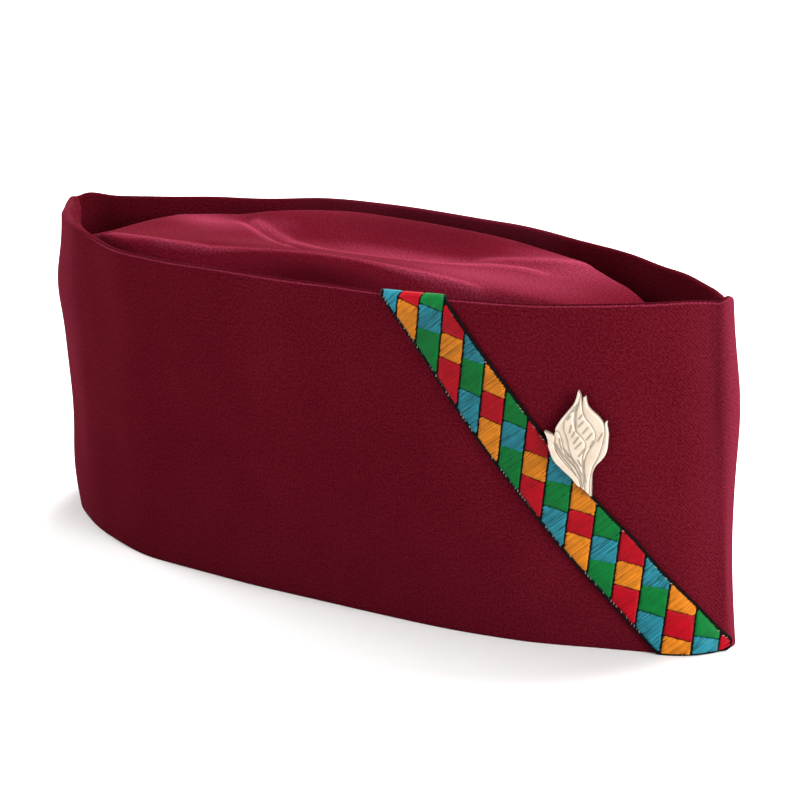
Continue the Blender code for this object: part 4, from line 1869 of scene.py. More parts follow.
    def _pillow_faces(self, first: int) -> list[tuple[int, int, int, int]]:
        """The faces of one closed pillow: its top, its foot and the wall between them.

        Args:
            first: the number of its first point.

        Returns:
            The four points of each face.
        """
        steps, size = self.patch_steps, self.patch_steps**2
        faces = []
        for r in range(steps - 1):
            for c in range(steps - 1):
                a, b = first + r * steps + c, first + (r + 1) * steps + c
                faces.append((a, a + 1, b + 1, b))
                faces.append((a + size, b + size, b + 1 + size, a + 1 + size))
        there, back = range(steps - 1), range(steps - 1, 0, -1)
        ring = [(0, c) for c in there] + [(r, steps - 1) for r in there]
        ring += [(steps - 1, c) for c in back] + [(r, 0) for r in back]
        loop = [first + r * steps + c for r, c in ring]
        return faces + [(two, one, one + size, two + size) for one, two in zip(loop, loop[1:] + loop[:1])]

    def _patch_mesh(self, patches: list[Patch], material: bpy.types.Material) -> bpy.types.Mesh:
        """All patches as closed low pillows, with their silks as an attribute.

        Args:
            patches: the patches.
            material: their material.

        Returns:
            The mesh.
        """
        even = 1 - np.abs(np.linspace(-1.0, 1.0, self.patch_steps))
        dome = np.clip(np.minimum.outer(even, even) * self.patch_edge_rise, 0.0, 1.0) ** 0.5
        low = self.seat + self.ground + self.patch_clearance
        high = self.patch_top - self.patch_under_threads
        points, faces, shades = [], [], []
        for patch in patches:
            reach, climb = patch.grid[..., 0], patch.grid[..., 1]
            faces += self._pillow_faces(len(points))
            for lift in (low + (high - low) * dome, np.full_like(reach, low - self.patch_sink)):
                points += self._on_wall(reach, climb, lift).reshape(-1, 3).tolist()
            # painted light on the patch by its climb
            pale = self._painted_brightness(float(climb.mean()))
            shade = tuple(part * pale for part in patch.silk.value.colour)
            shades += [opaque(shade)] * (2 * climb.size)
        mesh = bpy.data.meshes.new("silk_patches")
        mesh.from_pydata(points, [], faces)
        keep_values(mesh, "shade", "FLOAT_COLOR", shades)
        # tone -1: the patches under the threads get painted shade in the finish
        keep_values(mesh, "tone", "FLOAT", np.full(len(points), -1.0))
        with editing(mesh) as build:
            bmesh.ops.remove_doubles(build, verts=build.verts, dist=self.merge)
            bmesh.ops.dissolve_degenerate(build, edges=build.edges, dist=self.merge)
            bmesh.ops.recalc_face_normals(build, faces=build.faces)
        mesh.materials.append(material)
        mesh.shade_smooth()
        return mesh

    def _ways(self) -> tuple[np.ndarray, np.ndarray]:
        """The way along a satin thread, and the way from one thread to the next."""
        way = np.array(self.thread_way)
        return way, np.array([way[1], -way[0]])

    def _strokes(self, patch: Patch) -> Iterator[tuple[np.ndarray, np.ndarray]]:
        """Lays parallel satin threads over a patch, from one side of it to the other.

        Args:
            patch: the patch.

        Yields:
            The two ends of each thread, in reach and climb.
        """
        way, step = self._ways()
        border = patch.outline()
        after = np.roll(border, -1, axis=0)
        offsets, ends = border @ step, after @ step
        count = max(int((offsets.max() - offsets.min()) / self.thread_pitch), 1)
        for number in range(count):
            offset = offsets.min() + (number + 0.5) * self.thread_pitch
            crossing = (offsets - offset) * (ends - offset) < 0
            if crossing.sum() < 2:
                continue
            share = (offset - offsets[crossing]) / (ends[crossing] - offsets[crossing])
            spots = border[crossing] + (after - border)[crossing] * share[:, None]
            along = spots @ way
            start, end = spots[along.argmin()], spots[along.argmax()]
            if float(np.linalg.norm(end - start)) >= self.shortest_thread:
                yield start, end

    def _thread(
        self, shade: SilkShade, start: np.ndarray, end: np.ndarray, jitter: np.random.Generator
    ) -> tuple[np.ndarray, Colour]:
        """One satin thread, arched over its patch. A few are shorter than the patch.

        Args:
            shade: its silk's shade.
            start: its first end, in reach and climb.
            end: its last end.
            jitter: where its small differences come from.

        Returns:
            Its path and its colour.
        """
        way, step = self._ways()
        if jitter.random() < shade.short_share:
            cut = (end - start) * jitter.uniform(*self.short_cut)
            start, end = (start + cut, end) if jitter.random() < 0.5 else (start, end - cut)
        on_fold = max(start[1], end[1]) > self.wall.height - 2 * MM
        places = np.array([0.0, 0.06, 0.2, 0.5, 0.8, 0.94, 1.0])
        if on_fold:
            places = np.concatenate([[0.0], np.linspace(0.05, 0.95, 18), [1.0]])
        arch = 1 - (1 - np.minimum(places, 1 - places) * 2) ** 12
        start = start - way * jitter.uniform(*self.overshoot) * MM
        end = end + way * jitter.uniform(*self.overshoot) * MM
        line = start + (end - start) * places[:, None]
        uneven = min(shade.spread * 3, 1.0)
        line = line + step * jitter.normal(0, self.thread_sway) * uneven
        low = self.seat + self.ground - self.thread_sink
        high = self.patch_top + jitter.normal(0, self.thread_rise) * uneven
        line[:, 1] = np.maximum(line[:, 1], self.foot_climb)
        path = self._on_wall(line[:, 0], line[:, 1], low + (high - low) * arch)
        # painted light by climb, times a random brightness for each thread
        bright = self._painted_brightness(line[:, 1].mean()) * (1 + shade.spread * (jitter.random() - 0.6))
        return path, tuple(part * bright for part in shade.colour)

    def _thread_mesh(self, patches: list[Patch], material: bpy.types.Material) -> bpy.types.Mesh:
        """Satin threads over every patch, as round tubes.

        Args:
            patches: the patches.
            material: the threads' material.

        Returns:
            The mesh.
        """
        jitter = np.random.default_rng(self.thread_seed)
        threads = [
            self._thread(patch.silk.value, start, end, jitter)
            for patch in patches
            for start, end in self._strokes(patch)
        ]
        paths, shades = zip(*threads)
        tree = GeometryTree("satin_threads", {"Thickness": self.thread_width, "Sides": 6, "Seed": 3})
        toned = tree.store_tone(tree.path(), "CURVE", tree.random(0.0, 1.0, 1))
        scale = tree.random(0.85, 1.08, 2)
        sized = tree.through("GeometryNodeSetCurveRadius", None, {"Curve": toned, "Radius": 1.0})
        tree.end(tree.tube(sized, tree.given("Thickness"), tree.given("Sides"), scale), material)
        return tree.run("satin_threads", paths_mesh("satin_paths", paths, shades=shades))

    def _border_path(self) -> np.ndarray:
        """A path down the front edge, across the foot and up the back edge.

        Returns:
            The path's points.
        """
        inwards = foot = self.edging * 0.51
        climbs = np.linspace(foot, self.top_climb - self.end_clearance, self.border_samples)
        front = self.edge_reach(climbs, Edge.FRONT, inwards) + self._rounded(climbs, self.front_rounding)
        back = self.edge_reach(climbs, Edge.BACK, inwards) - self._rounded(climbs, self.back_rounding)
        across = np.linspace(front[0], back[0], 30)[1:-1]
        reach = np.concatenate([front[::-1], across, back])
        climb = np.concatenate([climbs[::-1], np.full_like(across, foot), climbs])
        return self._on_wall(reach, climb, self.seat + self.ground - self.edging_sink)

    def _edging_mesh(self, material: bpy.types.Material) -> bpy.types.Mesh:
        """A dark cord all along the border.

        Args:
            material: its material.

        Returns:
            The mesh.
        """
        tree = GeometryTree("edging_cord", {"Thickness": self.edging, "Sides": 10, "Seed": 5})
        toned = tree.store_tone(tree.path(), "CURVE", tree.random(0.0, 0.1, 1))
        tree.end(tree.tube(toned, tree.given("Thickness"), tree.given("Sides")), material)
        return tree.run("edging_cord", paths_mesh("edging_paths", [self._border_path()]))

    def _whip_mesh(self, edge: Edge, inwards: float, material: bpy.types.Material) -> bpy.types.Mesh:
        """Whip stitches over the edging of one edge.

        Args:
            edge: the edge.
            inwards: how far inside the edge the stitches' middles are.
            material: their material.

        Returns:
            The mesh.
        """
        climbs = np.linspace(self.whip_start, self.top_climb - self.end_clearance, self.border_samples)
        reach = self.edge_reach(climbs, edge, inwards)
        path = self._on_wall(reach, climbs, self.seat + self.ground + self.whip_lift)
        sizes = {
            "Spacing": 1.05 * MM,
            "Reach": 0.9 * MM,
            "Height": 0.30 * MM,
            "Thickness": 0.26 * MM,
            "Seed": 11 + edge.value,
        }
        tree = stitch_tree("whip_stitches", sizes, material, twist=self.whip_slant * edge.value)
        carrier = paths_mesh("whip_paths", [path], self.wall.outwards(reach, climbs))
        return tree.run("whip_stitches", carrier)

    def build(
        self, ground: YarnFinish, silk: SilkFinish, front_yarn: YarnFinish, back_yarn: YarnFinish
    ) -> list[bpy.types.Object]:
        """Builds the ribbon.

        Args:
            ground: the finish of the ground and of the edging.
            silk: the finish of the patches and of the threads.
            front_yarn: the finish of the whip stitches on the front edge.
            back_yarn: the same on the back edge.

        Returns:
            Its pieces.
        """
        patches = self.patches()
        silk_material, ground_material = silk.material(), ground.material()
        strip = wear("ribbon_ground", self._ground_mesh(ground_material), "ribbon_weave", "ribbon")
        pieces = [
            wear("silk_patches", self._patch_mesh(patches, silk_material), "ribbon_weave"),
            wear("satin_threads", self._thread_mesh(patches, silk_material), "ribbon_weave"),
            wear("edging_cord", self._edging_mesh(ground_material), "ribbon_weave"),
        ]
        for name, edge, inwards, yarn in (
            ("front_stitches", Edge.FRONT, 0.86 * MM, front_yarn),
            ("back_stitches", Edge.BACK, 0.80 * MM, back_yarn),
        ):
            pieces.append(wear(name, self._whip_mesh(edge, inwards, yarn.material()), "ribbon_weave"))
        return [strip, *pieces]


def stitch_tree(
    name: str, sizes: dict[str, float | int], material: bpy.types.Material, twist: float
) -> GeometryTree:
    """A tree that lays short arched stitches across a path.

    Args:
        name: the tree's name.
        sizes: Spacing, Reach, Height, Thickness and Seed.
        material: the stitches' material.
        twist: how far a stitch slants, in radians.

    Returns:
        The finished tree.
    """
    tree = GeometryTree(name, sizes)
    values = {"Curve": tree.path(), "Length": tree.given("Spacing")}
    spots = tree.add("GeometryNodeCurveToPoints", {"mode": "LENGTH"}, values)
    outwards = tree.named("out", "FLOAT_VECTOR")
    axes = {"Primary Axis": outwards, "Secondary Axis": tree.out(spots, "Tangent")}
    facing = tree.through("FunctionNodeAxesToRotation", {"primary_axis": "Z", "secondary_axis": "Y"}, axes)
    slant = tree.vector(0.0, 0.0, tree.random(twist - 0.2, twist + 0.2, 1))
    turned = tree.through("FunctionNodeEulerToRotation", None, {0: slant})
    turns = {"Rotation": facing, "Rotate By": turned}
    rotation = tree.through("FunctionNodeRotateRotation", {"rotation_space": "LOCAL"}, turns)
    half, height = tree.given("Reach") * 0.5, tree.given("Height")
    arch = {
        "Resolution": 6,
        "Start": tree.vector(0.0 - half, 0.0, height * -0.8),
        "Middle": tree.vector(0.0, 0.0, height * 1.5),
        "End": tree.vector(half, 0.0, height * -0.8),
    }
    bow = tree.through("GeometryNodeCurveQuadraticBezier", None, arch)
    values = {
        "Points": tree.out(spots, "Points"),
        "Instance": tree.tube(bow, tree.given("Thickness"), 5),
        "Rotation": rotation,
        "Scale": tree.vector(tree.random(0.8, 1.15, 2), 1.0, 1.0),
    }
    placed = tree.through("GeometryNodeInstanceOnPoints", None, values)
    tree.end(tree.store_tone(placed, "INSTANCE", tree.random(0.0, 1.0, 4)), material)
    return tree


@dataclass(frozen=True)
class Leaf:
    """A pressed leaf of the badge, in millimetres on its plane: side to the front, and up.

    left and right are its edges from the foot to the tip. level is how far out its middle
    stands and brim how far its edges do. A bead is the height of the raised rim of an edge.
    """

    left: Line
    right: Line
    level: float
    brim: float
    left_bead: float = 0.0
    right_bead: float = 0.0

    @staticmethod
    def _even(line: Line, steps: int) -> np.ndarray:
        """A smooth line through some points.

        Args:
            line: the points.
            steps: how many places of the line are wanted.

        Returns:
            The places, in even steps.
        """
        points = np.array(line)
        walked = np.concatenate([[0.0], np.cumsum(np.linalg.norm(np.diff(points, axis=0), axis=1))])
        places = np.linspace(0.0, walked[-1], steps)
        return np.stack([curve_through(walked, points[:, k], places) for k in range(2)], -1)

    def surface(self, rows: int, columns: int, bead_width: float) -> np.ndarray:
        """The leaf's face, with its dome and its beads.

        Args:
            rows: how many rows of points it has, from foot to tip.
            columns: how many points a row has.
            bead_width: how wide a bead is.

        Returns:
            The face's points, in millimetres.
        """
        left, right = self._even(self.left, rows), self._even(self.right, rows)
        shares = (1 - np.cos(np.linspace(0, math.pi, columns))) / 2
        flat = left[:, None] + (right - left)[:, None] * shares[None, :, None]
        span = np.linalg.norm(right - left, axis=1)[:, None]
        taper = np.clip(span / 2.2, 0.0, 1.0) ** 0.7
        dome = (4 * shares * (1 - shares))[None, :] ** 0.6
        height = self.brim + (self.level - self.brim) * dome * taper
        for bead, away in ((self.left_bead, shares * span), (self.right_bead, (1 - shares) * span)):
            height = height + bead * 0.5 * np.exp(-((away / bead_width - 0.7) ** 2) * 2) * taper
        return np.concatenate([flat, height[..., None]], -1)


@dataclass
class Badge:
    """The pale pressed flower bud, with its leaves from the lowest to the topmost."""

    wall: Wall
    finish: PressedMetalFinish
    height: float = 30.6 * MM
    width: float = 17.6 * MM
    reach: float = 42.2 * MM
    foot_height: float = 45.8 * MM
    stand_off: float = 1.6 * MM
    up_scale: float = 0.977
    rows: int = 110
    columns: int = 30
    bead_width: float = 0.42
    full_bead: float = 0.2
    polish_place: float = 0.22
    polish_width: float = 0.30
    groove_depth: float = 0.12
    groove_width: float = 0.27
    # darkening beside the edges of the upper leaves: patina and painted shade, its width and strength
    under_width: float = 1.5
    under_dark: float = 0.9
    skirt_dark: float = 0.6
    stem_dark: float = 0.3
    stem_thickness: float = 0.95
    back_level: float = 0.02
    back_step: float = 0.03
    merge: float = 0.002 * MM
    edge_angle: float = math.radians(55)
    shift: Point2 = (-0.35 * MM, 0.30 * MM)
    leaves: tuple[Leaf, ...] = (
        Leaf(
            left=(
                (1.9, 1.8), (2.2, 5.0), (3.0, 9.0), (4.6, 13.5), (6.1, 16.8), (7.3, 18.8), (7.9, 20.9),
                (8.3, 22.1), (8.97, 22.6),
            ),
            right=(
                (3.5, 0.4), (3.8, 4.1), (4.1, 6.5), (4.6, 8.0), (5.4, 9.4), (6.8, 10.9), (8.0, 12.6),
                (8.6, 14.5), (8.9, 16.9), (9.05, 18.4), (8.9, 20.3), (8.75, 21.4), (8.97, 22.6),
            ),
            level=1.25, brim=0.95, right_bead=0.22,
        ),
        Leaf(
            left=(
                (0.9, 3.4), (1.2, 10.0), (1.6, 16.0), (1.6, 22.0), (1.9, 26.0), (2.45, 28.6),
                (2.6, 29.3), (3.3, 29.6),
            ),
            right=(
                (3.1, 1.0), (3.4, 5.0), (4.4, 9.0), (6.2, 12.5), (7.5, 16.5), (8.0, 19.5), (7.85, 21.4),
                (6.8, 23.3), (5.5, 24.7), (4.6, 25.6), (3.75, 26.8), (3.4, 28.2), (3.3, 29.6),
            ),
            level=1.45, brim=1.15, right_bead=0.12,
        ),
        Leaf(
            left=(
                (0.6, 3.4), (0.2, 8.0), (-0.5, 14.0), (-0.6, 20.0), (0.2, 26.0), (1.0, 29.5),
                (1.31, 31.3),
            ),
            right=(
                (1.9, 2.2), (1.8, 6.0), (2.0, 10.0), (2.6, 12.4), (3.7, 14.4), (5.0, 16.3), (5.5, 18.5),
                (4.5, 21.1), (2.9, 23.2), (2.15, 25.5), (2.06, 27.2), (2.1, 28.6), (1.9, 30.0),
                (1.31, 31.3),
            ),
            level=1.62, brim=1.38, right_bead=0.14,
        ),
        Leaf(
            left=(
                (0.5, 3.6), (-1.2, 7.0), (-3.4, 11.0), (-4.7, 15.0), (-5.3, 18.0), (-5.5, 19.6),
                (-4.5, 21.8), (-3.0, 23.8), (-1.6, 25.5), (-0.1, 27.4), (0.3, 28.2), (0.8, 29.5),
                (1.31, 31.3),
            ),
            right=(
                (1.5, 3.2), (1.2, 8.0), (0.4, 14.0), (0.2, 20.0), (0.4, 25.0), (1.5, 28.3), (1.8, 30.0),
                (1.31, 31.3),
            ),
            level=1.72, brim=1.45, left_bead=0.24,
        ),
        Leaf(
            left=(
                (1.0, 3.6), (0.2, 7.0), (-1.0, 11.5), (-1.7, 14.3), (-1.95, 16.2), (-2.35, 18.1),
                (-2.95, 20.0), (-2.85, 21.9), (-1.6, 24.0), (0.2, 26.4),
            ),
            right=(
                (1.7, 3.4), (1.5, 7.0), (1.5, 10.5), (1.85, 12.9), (2.4, 14.4), (2.6, 15.8),
                (1.6, 17.7), (0.1, 19.6), (-0.3, 22.6), (0.0, 25.0), (0.2, 26.4),
            ),
            level=1.92, brim=1.66, left_bead=0.08, right_bead=0.12,
        ),
        Leaf(
            left=(
                (0.6, 3.5), (-0.6, 6.4), (-3.0, 9.4), (-4.9, 12.4), (-5.9, 15.0), (-6.1, 17.2),
                (-5.4, 19.4),
            ),
            right=(
                (1.5, 3.4), (1.1, 5.9), (-0.4, 8.8), (-2.0, 11.0), (-3.2, 13.0), (-3.6, 15.2),
                (-3.9, 17.1), (-4.6, 19.0), (-5.4, 19.4),
            ),
            level=1.80, brim=1.58, right_bead=0.10,
        ),
        Leaf(
            left=(
                (0.5, 3.1), (-0.2, 3.8), (-1.7, 5.8), (-4.1, 8.2), (-6.3, 10.8), (-7.3, 13.6),
                (-7.6, 15.0), (-7.65, 16.5), (-8.0, 17.9), (-8.53, 19.3),
            ),
            right=(
                (0.8, 3.3), (0.4, 5.0), (-1.1, 7.3), (-2.5, 8.9), (-3.8, 10.6), (-5.1, 12.5),
                (-5.8, 14.1), (-5.9, 16.0), (-5.7, 17.6), (-6.2, 18.3), (-7.2, 18.8), (-8.53, 19.3),
            ),
            level=2.00, brim=1.72, left_bead=0.15,
        ),
    )
    stem: Line = ((0.5, 3.5), (0.64, 3.0), (1.87, 1.8), (3.7, 0.1), (3.9, 4.0), (4.1, 7.0), (1.0, 9.0))
    veins: tuple[tuple[Point2, Point2], ...] = (
        ((1.0, 20.9), (2.3, 22.3)),
        ((2.15, 18.95), (3.5, 20.6)),
        ((3.1, 17.1), (4.55, 18.9)),
        ((3.9, 14.8), (4.9, 16.7)),
        ((-1.5, 19.2), (-1.0, 21.2)),
        ((-0.9, 18.0), (-0.1, 19.4)),
        ((-0.5, 16.0), (0.9, 17.9)),
        ((-0.1, 14.5), (1.6, 16.3)),
        ((0.8, 12.3), (2.4, 14.3)),
        ((-1.9, 23.0), (-1.2, 24.0)),
        ((-0.4, 25.3), (0.4, 25.9)),
        ((0.5, 26.7), (1.3, 27.6)),
        ((1.2, 23.2), (2.1, 24.3)),
    )
    ribs: tuple[Line, ...] = (
        ((-5.5, 15.8), (-4.6, 14.2), (-3.5, 12.5), (-1.95, 10.6), (-0.4, 8.8), (1.1, 5.9)),
        ((-2.8, 13.5), (-1.0, 11.4), (0.3, 9.5), (1.4, 6.6)),
        ((-4.4, 17.2), (-4.3, 15.6), (-3.8, 14.0)),
        ((1.9, 11.0), (1.9, 8.0), (2.3, 4.6)),
        ((-5.9, 15.9), (-5.0, 13.9), (-3.6, 11.6), (-1.9, 9.4), (-0.3, 6.6)),
        ((-3.4, 14.4), (-2.2, 12.6), (-1.0, 11.5)),
        ((7.4, 18.9), (6.1, 16.8)),
        ((-2.3, 12.4), (-1.0, 11.3)),
        ((0.5, 11.0), (1.5, 9.2)),
    )

    def place(self) -> Matrix:
        """The badge's frame, from the wall behind it.

        Returns:
            The middle of its foot on the plane of its back, with its sideways, up and out.
        """
        wall = self.wall
        middle_height = self.foot_height + self.height / 2
        step = self.width / 2
        reaches = np.array([self.reach + step, self.reach - step, self.reach])
        turns = np.interp(reaches, wall.near_reaches, wall.near_turns)
        left, right, middle = wall.points(turns, middle_height, 0.0, smooth=True)
        ends = middle_height + np.array([self.height, -self.height]) / 2
        above, below = wall.points(np.repeat(turns[2], 2), ends, 0.0, smooth=True)
        side = Vector(right - left).normalized()
        up = Vector(above - below).normalized()
        out = side.cross(up).normalized()
        up = out.cross(side)
        made = Matrix((side, up, out)).transposed().to_4x4()
        made.translation = Vector(middle) + out * self.stand_off - up * self.height / 2
        return made

    def middle(self) -> Matrix:
        """The middle of the badge's back, where its pin is, in the same directions."""
        return self.place() @ Matrix.Translation((0.0, self.height / 2, 0.0))

    def _polish_and_highlight(self, leaf: Leaf, x: np.ndarray, y: np.ndarray) -> np.ndarray:
        """How polished the places of a leaf are, with a painted highlight: its beaded edges are.

        Args:
            leaf: the leaf.
            x: the places' sides.
            y: the places' heights.

        Returns:
            The polish and painted highlight of each place, from 0 to 1.
        """
        polish_and_highlight = np.zeros_like(x)
        for line, bead in ((leaf.left, leaf.left_bead), (leaf.right, leaf.right_bead)):
            away = (away_from(x, y, line) - self.polish_place) / self.polish_width
            polish_and_highlight = np.maximum(polish_and_highlight, min(bead / self.full_bead, 1.0) * np.exp(-(away**2)))
        return polish_and_highlight

    @staticmethod
    def _beside(x: np.ndarray, y: np.ndarray, lines: Sequence[Line], width: float) -> np.ndarray:
        """How near each place is to the nearest of some lines.

        Args:
            x: the places' sides.
            y: the places' heights.
            lines: the lines.
            width: how far from a line the nearness reaches.

        Returns:
            The nearness of each place, from 0 to 1.
        """
        near = np.zeros_like(x)
        for line in lines:
            near = np.maximum(near, np.exp(-((away_from(x, y, line) / width) ** 2)))
        return near

    def _leaf_mesh(self, number: int, leaf: Leaf, build: bmesh.types.BMesh) -> None:
        """Adds one leaf to the badge's mesh, closed down to its back.

        Args:
            number: how many leaves lie under it.
            leaf: the leaf.
            build: the mesh.
        """
        face = leaf.surface(self.rows, self.columns, self.bead_width)
        x, y = face[..., 0], face[..., 1]
        groove = self._beside(x, y, (*self.veins, *self.ribs), self.groove_width)
        face[..., 2] -= self.groove_depth * groove
        # A lower leaf is darkened beside the edges of the leaves over it: patina and painted shade.
        over = [line for upper in self.leaves[number + 1 :] for line in (upper.left, upper.right)]
        under = self._beside(x, y, over, self.groove_width * self.under_width)
        dark = np.maximum(groove, self.under_dark * under)
        layer, shine = build.verts.layers.float["groove"], build.verts.layers.float["polish_and_highlight"]
        polish_and_highlight = self._polish_and_highlight(leaf, x, y)
        corners = []
        for point, shade, gleam in zip(face.reshape(-1, 3), dark.ravel(), polish_and_highlight.ravel()):
            corner = build.verts.new((point[0] * MM, point[1] * self.up_scale * MM, point[2] * MM))
            corner[layer], corner[shine] = float(shade), float(gleam)
            corners.append(corner)
        faces = []
        for row in range(self.rows - 1):
            for column in range(self.columns - 1):
                a = row * self.columns + column
                ring = [corners[k] for k in (a, a + 1, a + self.columns + 1, a + self.columns)]
                faces.append(build.faces.new(ring))
        edges = {edge for one in faces for edge in one.edges if edge.is_boundary}
        skirt = bmesh.ops.extrude_edge_only(build, edges=list(edges))["geom"]
        lower = [item for item in skirt if isinstance(item, bmesh.types.BMVert)]
        for corner in lower:
            corner.co.z = (self.back_level + self.back_step * number) * MM
            corner[layer] = self.skirt_dark
        rim = [item for item in skirt if isinstance(item, bmesh.types.BMEdge)]
        rim = [edge for edge in rim if edge.verts[0] in lower and edge.verts[1] in lower]
        bmesh.ops.contextual_create(build, geom=rim)

    def _stem_mesh(self, build: bmesh.types.BMesh) -> None:
        """Adds the stem to the badge's mesh, as a flat plate.

        Args:
            build: the mesh.
        """
        layer = build.verts.layers.float["groove"]
        plates = []
        for height in (0.0, self.stem_thickness * MM):
            plates.append([build.verts.new((x * MM, y * self.up_scale * MM, height)) for x, y in self.stem])
            build.faces.new(plates[-1])
        low, high = plates
        for k in range(len(low)):
            beside = (k + 1) % len(low)
            build.faces.new((low[k], low[beside], high[beside], high[k]))
        for corner in low + high:
            corner[layer] = self.stem_dark

    def build(self) -> bpy.types.Object:
        """Builds the badge in its place on the wall.

        Returns:
            The badge.
        """
        mesh = bpy.data.meshes.new("pressed_badge")
        with editing(mesh) as build:
            for name in ("groove", "polish_and_highlight"):
                build.verts.layers.float.new(name)
            for number, leaf in enumerate(self.leaves):
                self._leaf_mesh(number, leaf, build)
            self._stem_mesh(build)
            bmesh.ops.remove_doubles(build, verts=build.verts, dist=self.merge)
            bmesh.ops.recalc_face_normals(build, faces=build.faces)
        mesh.materials.append(self.finish.material())
        soften(mesh, self.edge_angle)
        mesh.transform(self.place() @ Matrix.Translation((*self.shift, 0.0)))
        return wear("pressed_badge", mesh, "badge_metal", "flower_badge")


@dataclass
class Pin:
    """The badge's post and clutch, turned as one piece."""

    badge: Badge
    finish: SteelFinish
    post_radius: float = 0.6 * MM
    clutch_radius: float = 4.5 * MM
    clutch_thickness: float = 2.5 * MM
    edge_radius: float = 0.5 * MM
    edge_steps: int = 5
    gap: float = 0.3 * MM
    sides: int = 48
    merge: float = 0.001 * MM
    sharp_angle: float = math.radians(40)

    def _profile(self) -> list[Point2]:
        """The turned outline, from the badge's back to the clutch's hollow end.

        Returns:
            The radius and the height of each point.
        """
        top = -(self.badge.stand_off + self.badge.wall.thickness + self.gap)
        bottom = top - self.clutch_thickness
        soft, radius = self.edge_radius, self.clutch_radius
        profile = [(0.0, -self.gap), (self.post_radius, -self.gap), (self.post_radius, top)]
        quarter = math.pi / 2
        for start, middle in ((0, top - soft), (quarter, bottom + soft)):
            for angle in np.linspace(start, start + quarter, self.edge_steps):
                spot = (radius - soft + soft * math.sin(angle), middle + soft * math.cos(angle))
                profile.append(spot)
        hollow = [(radius * 0.62, bottom), (radius * 0.5, bottom + 0.5 * MM), (0.0, bottom + 0.6 * MM)]
        return profile + hollow

    def build(self) -> bpy.types.Object:
        """Builds the pin behind the badge, through the wall.

        Returns:
            The pin.
        """
        mesh = bpy.data.meshes.new("turned_pin")
        with editing(mesh) as build:
            edge = [build.verts.new((radius, 0.0, height)) for radius, height in self._profile()]
            links = [build.edges.new(pair) for pair in zip(edge[:-1], edge[1:])]
            bmesh.ops.spin(
                build, geom=edge + links, cent=(0, 0, 0), axis=(0, 0, 1), angle=FULL_TURN, steps=self.sides
            )
            bmesh.ops.remove_doubles(build, verts=build.verts, dist=self.merge)
            bmesh.ops.recalc_face_normals(build, faces=build.faces)
        mesh.materials.append(self.finish.material())
        soften(mesh, self.sharp_angle)
        mesh.transform(self.badge.middle())
        return wear("turned_pin", mesh, "pin_steel", "badge_pin")


class Lamp(NamedTuple):
    """A far soft light: the way from the cap to it, how wide it looks in degrees, and its
    strength on a surface that faces it, in watts per square metre."""

    name: str
    way: tuple[float, float, float]
    width: float
    strength: float
    colour: Colour


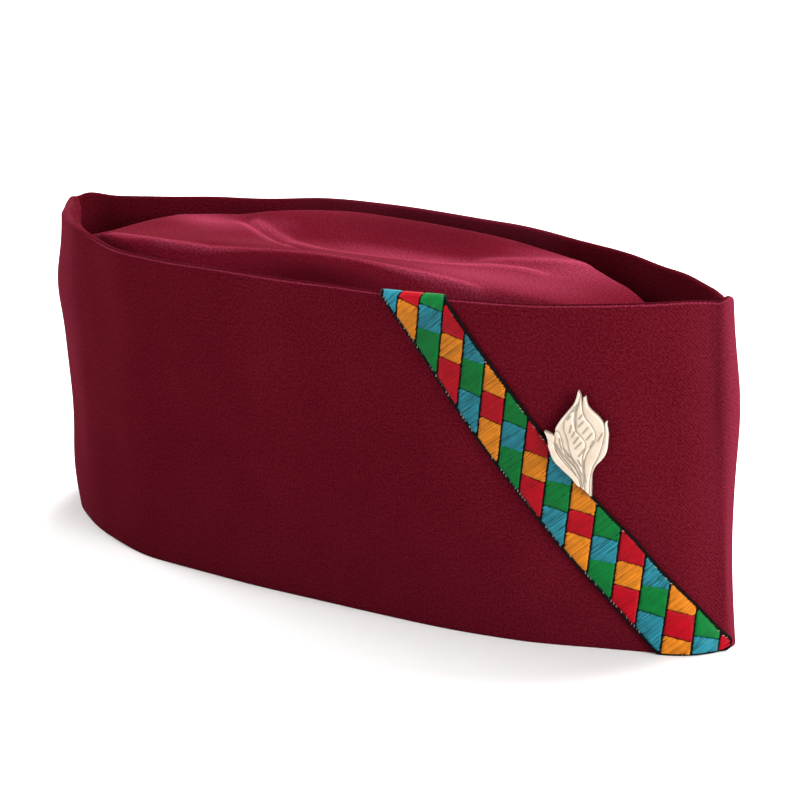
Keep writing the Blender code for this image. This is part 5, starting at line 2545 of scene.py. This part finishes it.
@dataclass
class Studio:
    """Floor, soft lights and camera."""

    camera_place: tuple[float, float, float] = (0.4874, -0.5128, 0.2647)
    camera_way: Point2 = (-0.679, 0.734)
    pitch: float = math.radians(17)
    roll: float = math.radians(3)
    lens_pixels: float = 2400.0
    image_side: int = 809
    sensor: float = 36.0
    floor_size: float = 16.0
    sky: Colour = (1.0, 1.0, 1.0)
    sky_strength: float = 0.5
    lamps: tuple[Lamp, ...] = (
        Lamp("overhead", (0.0, 0.80, 1.0), 44, 7.0, (1.0, 0.99, 0.98)),
        Lamp("front", (1.0, -0.05, 0.28), 30, 5.4, (1.0, 0.98, 0.98)),
        Lamp("back", (-1.0, 0.10, 0.28), 30, 4.6, (1.0, 0.98, 0.98)),
        Lamp("near", (-0.15, -1.0, 0.10), 60, 1.2, (1.0, 0.99, 0.98)),
    )

    def _camera(self) -> None:
        """Puts the camera at the photograph's angle."""
        data = bpy.data.cameras.new("camera")
        data.sensor_width = self.sensor
        data.lens = self.lens_pixels / self.image_side * self.sensor
        level = math.cos(self.pitch)
        ahead = Vector((self.camera_way[0] * level, self.camera_way[1] * level, -math.sin(self.pitch)))
        ahead.normalize()
        right = ahead.cross(Vector((0.0, 0.0, 1.0))).normalized()
        up = right.cross(ahead)
        right, up = (
            right * math.cos(self.roll) - up * math.sin(self.roll),
            right * math.sin(self.roll) + up * math.cos(self.roll),
        )
        turned = Matrix((right, up, -ahead)).transposed().to_4x4()
        turned.translation = Vector(self.camera_place)
        camera = put("camera", data)
        camera.matrix_world = turned
        bpy.context.scene.camera = camera

    @staticmethod
    def _hang(lamp: Lamp) -> None:
        """Hangs a soft light.

        Args:
            lamp: the light.
        """
        data = bpy.data.lights.new(lamp.name, "SUN")
        data.angle = math.radians(lamp.width)
        data.energy = lamp.strength
        data.color = lamp.colour
        put(lamp.name, data).rotation_euler = Vector(lamp.way).to_track_quat("Z", "Y").to_euler()

    def _floor(self) -> None:
        """Lays a plain pale floor under the cap."""
        half = self.floor_size / 2
        corners = [(-half, -half, 0), (half, -half, 0), (half, half, 0), (-half, half, 0)]
        mesh = bpy.data.meshes.new("floor")
        mesh.from_pydata(corners, [], [(0, 1, 2, 3)])
        mesh.materials.append(FloorFinish().material())
        floor = put("floor", mesh)

    def build(self) -> None:
        """Builds the stage, the lights and the camera."""
        scene = bpy.context.scene
        scene.view_settings.view_transform = "Standard"
        world = bpy.data.worlds.new("studio")
        world.use_nodes = True
        backing = world.node_tree.nodes["Background"]
        backing.inputs["Color"].default_value = (*self.sky, 1.0)
        backing.inputs["Strength"].default_value = self.sky_strength
        scene.world = world
        self._floor()
        for lamp in self.lamps:
            self._hang(lamp)
        self._camera()


def main() -> None:
    """Builds the cap piece by piece, then its studio."""
    logging.basicConfig(level=logging.INFO, format="%(message)s")
    nap = light(255, 170, 190)
    band_cloth = TwillFinish(
        name="band_twill",
        deep=(0.042, 0.0011, 0.0038),
        lit=(0.086, 0.0060, 0.0112),
        painted_light=(0.34, 0.043, 0.092),
        nap=nap,
        rim=PaintedRimLight(),
    )
    crown_cloth = TwillFinish(
        name="crown_twill",
        deep=(0.060, 0.0017, 0.0055),
        lit=(0.106, 0.0074, 0.0158),
        painted_light=(0.40, 0.053, 0.108),
        nap=nap,
        rib_share=0.08,
        nap_weight=0.04,
        nap_roughness=0.20,
    )
    ground = YarnFinish("ribbon_ground", light(6, 3, 4), light(28, 24, 24), 0.1)
    front_yarn = YarnFinish("front_yarn", light(20, 12, 13), light(158, 132, 108), 0.22)
    back_yarn = YarnFinish("back_yarn", light(18, 14, 16), light(112, 112, 112), 0.60)
    wall = Wall()
    badge = Badge(wall, PressedMetalFinish())
    band = Band(wall, band_cloth).build(badge.middle())
    Crown(wall, crown_cloth).build(band)
    Ribbon(wall).build(ground, SilkFinish(), front_yarn, back_yarn)
    badge.build()
    Pin(badge, SteelFinish()).build()
    Studio().build()


if __name__ == "__main__":
    main()
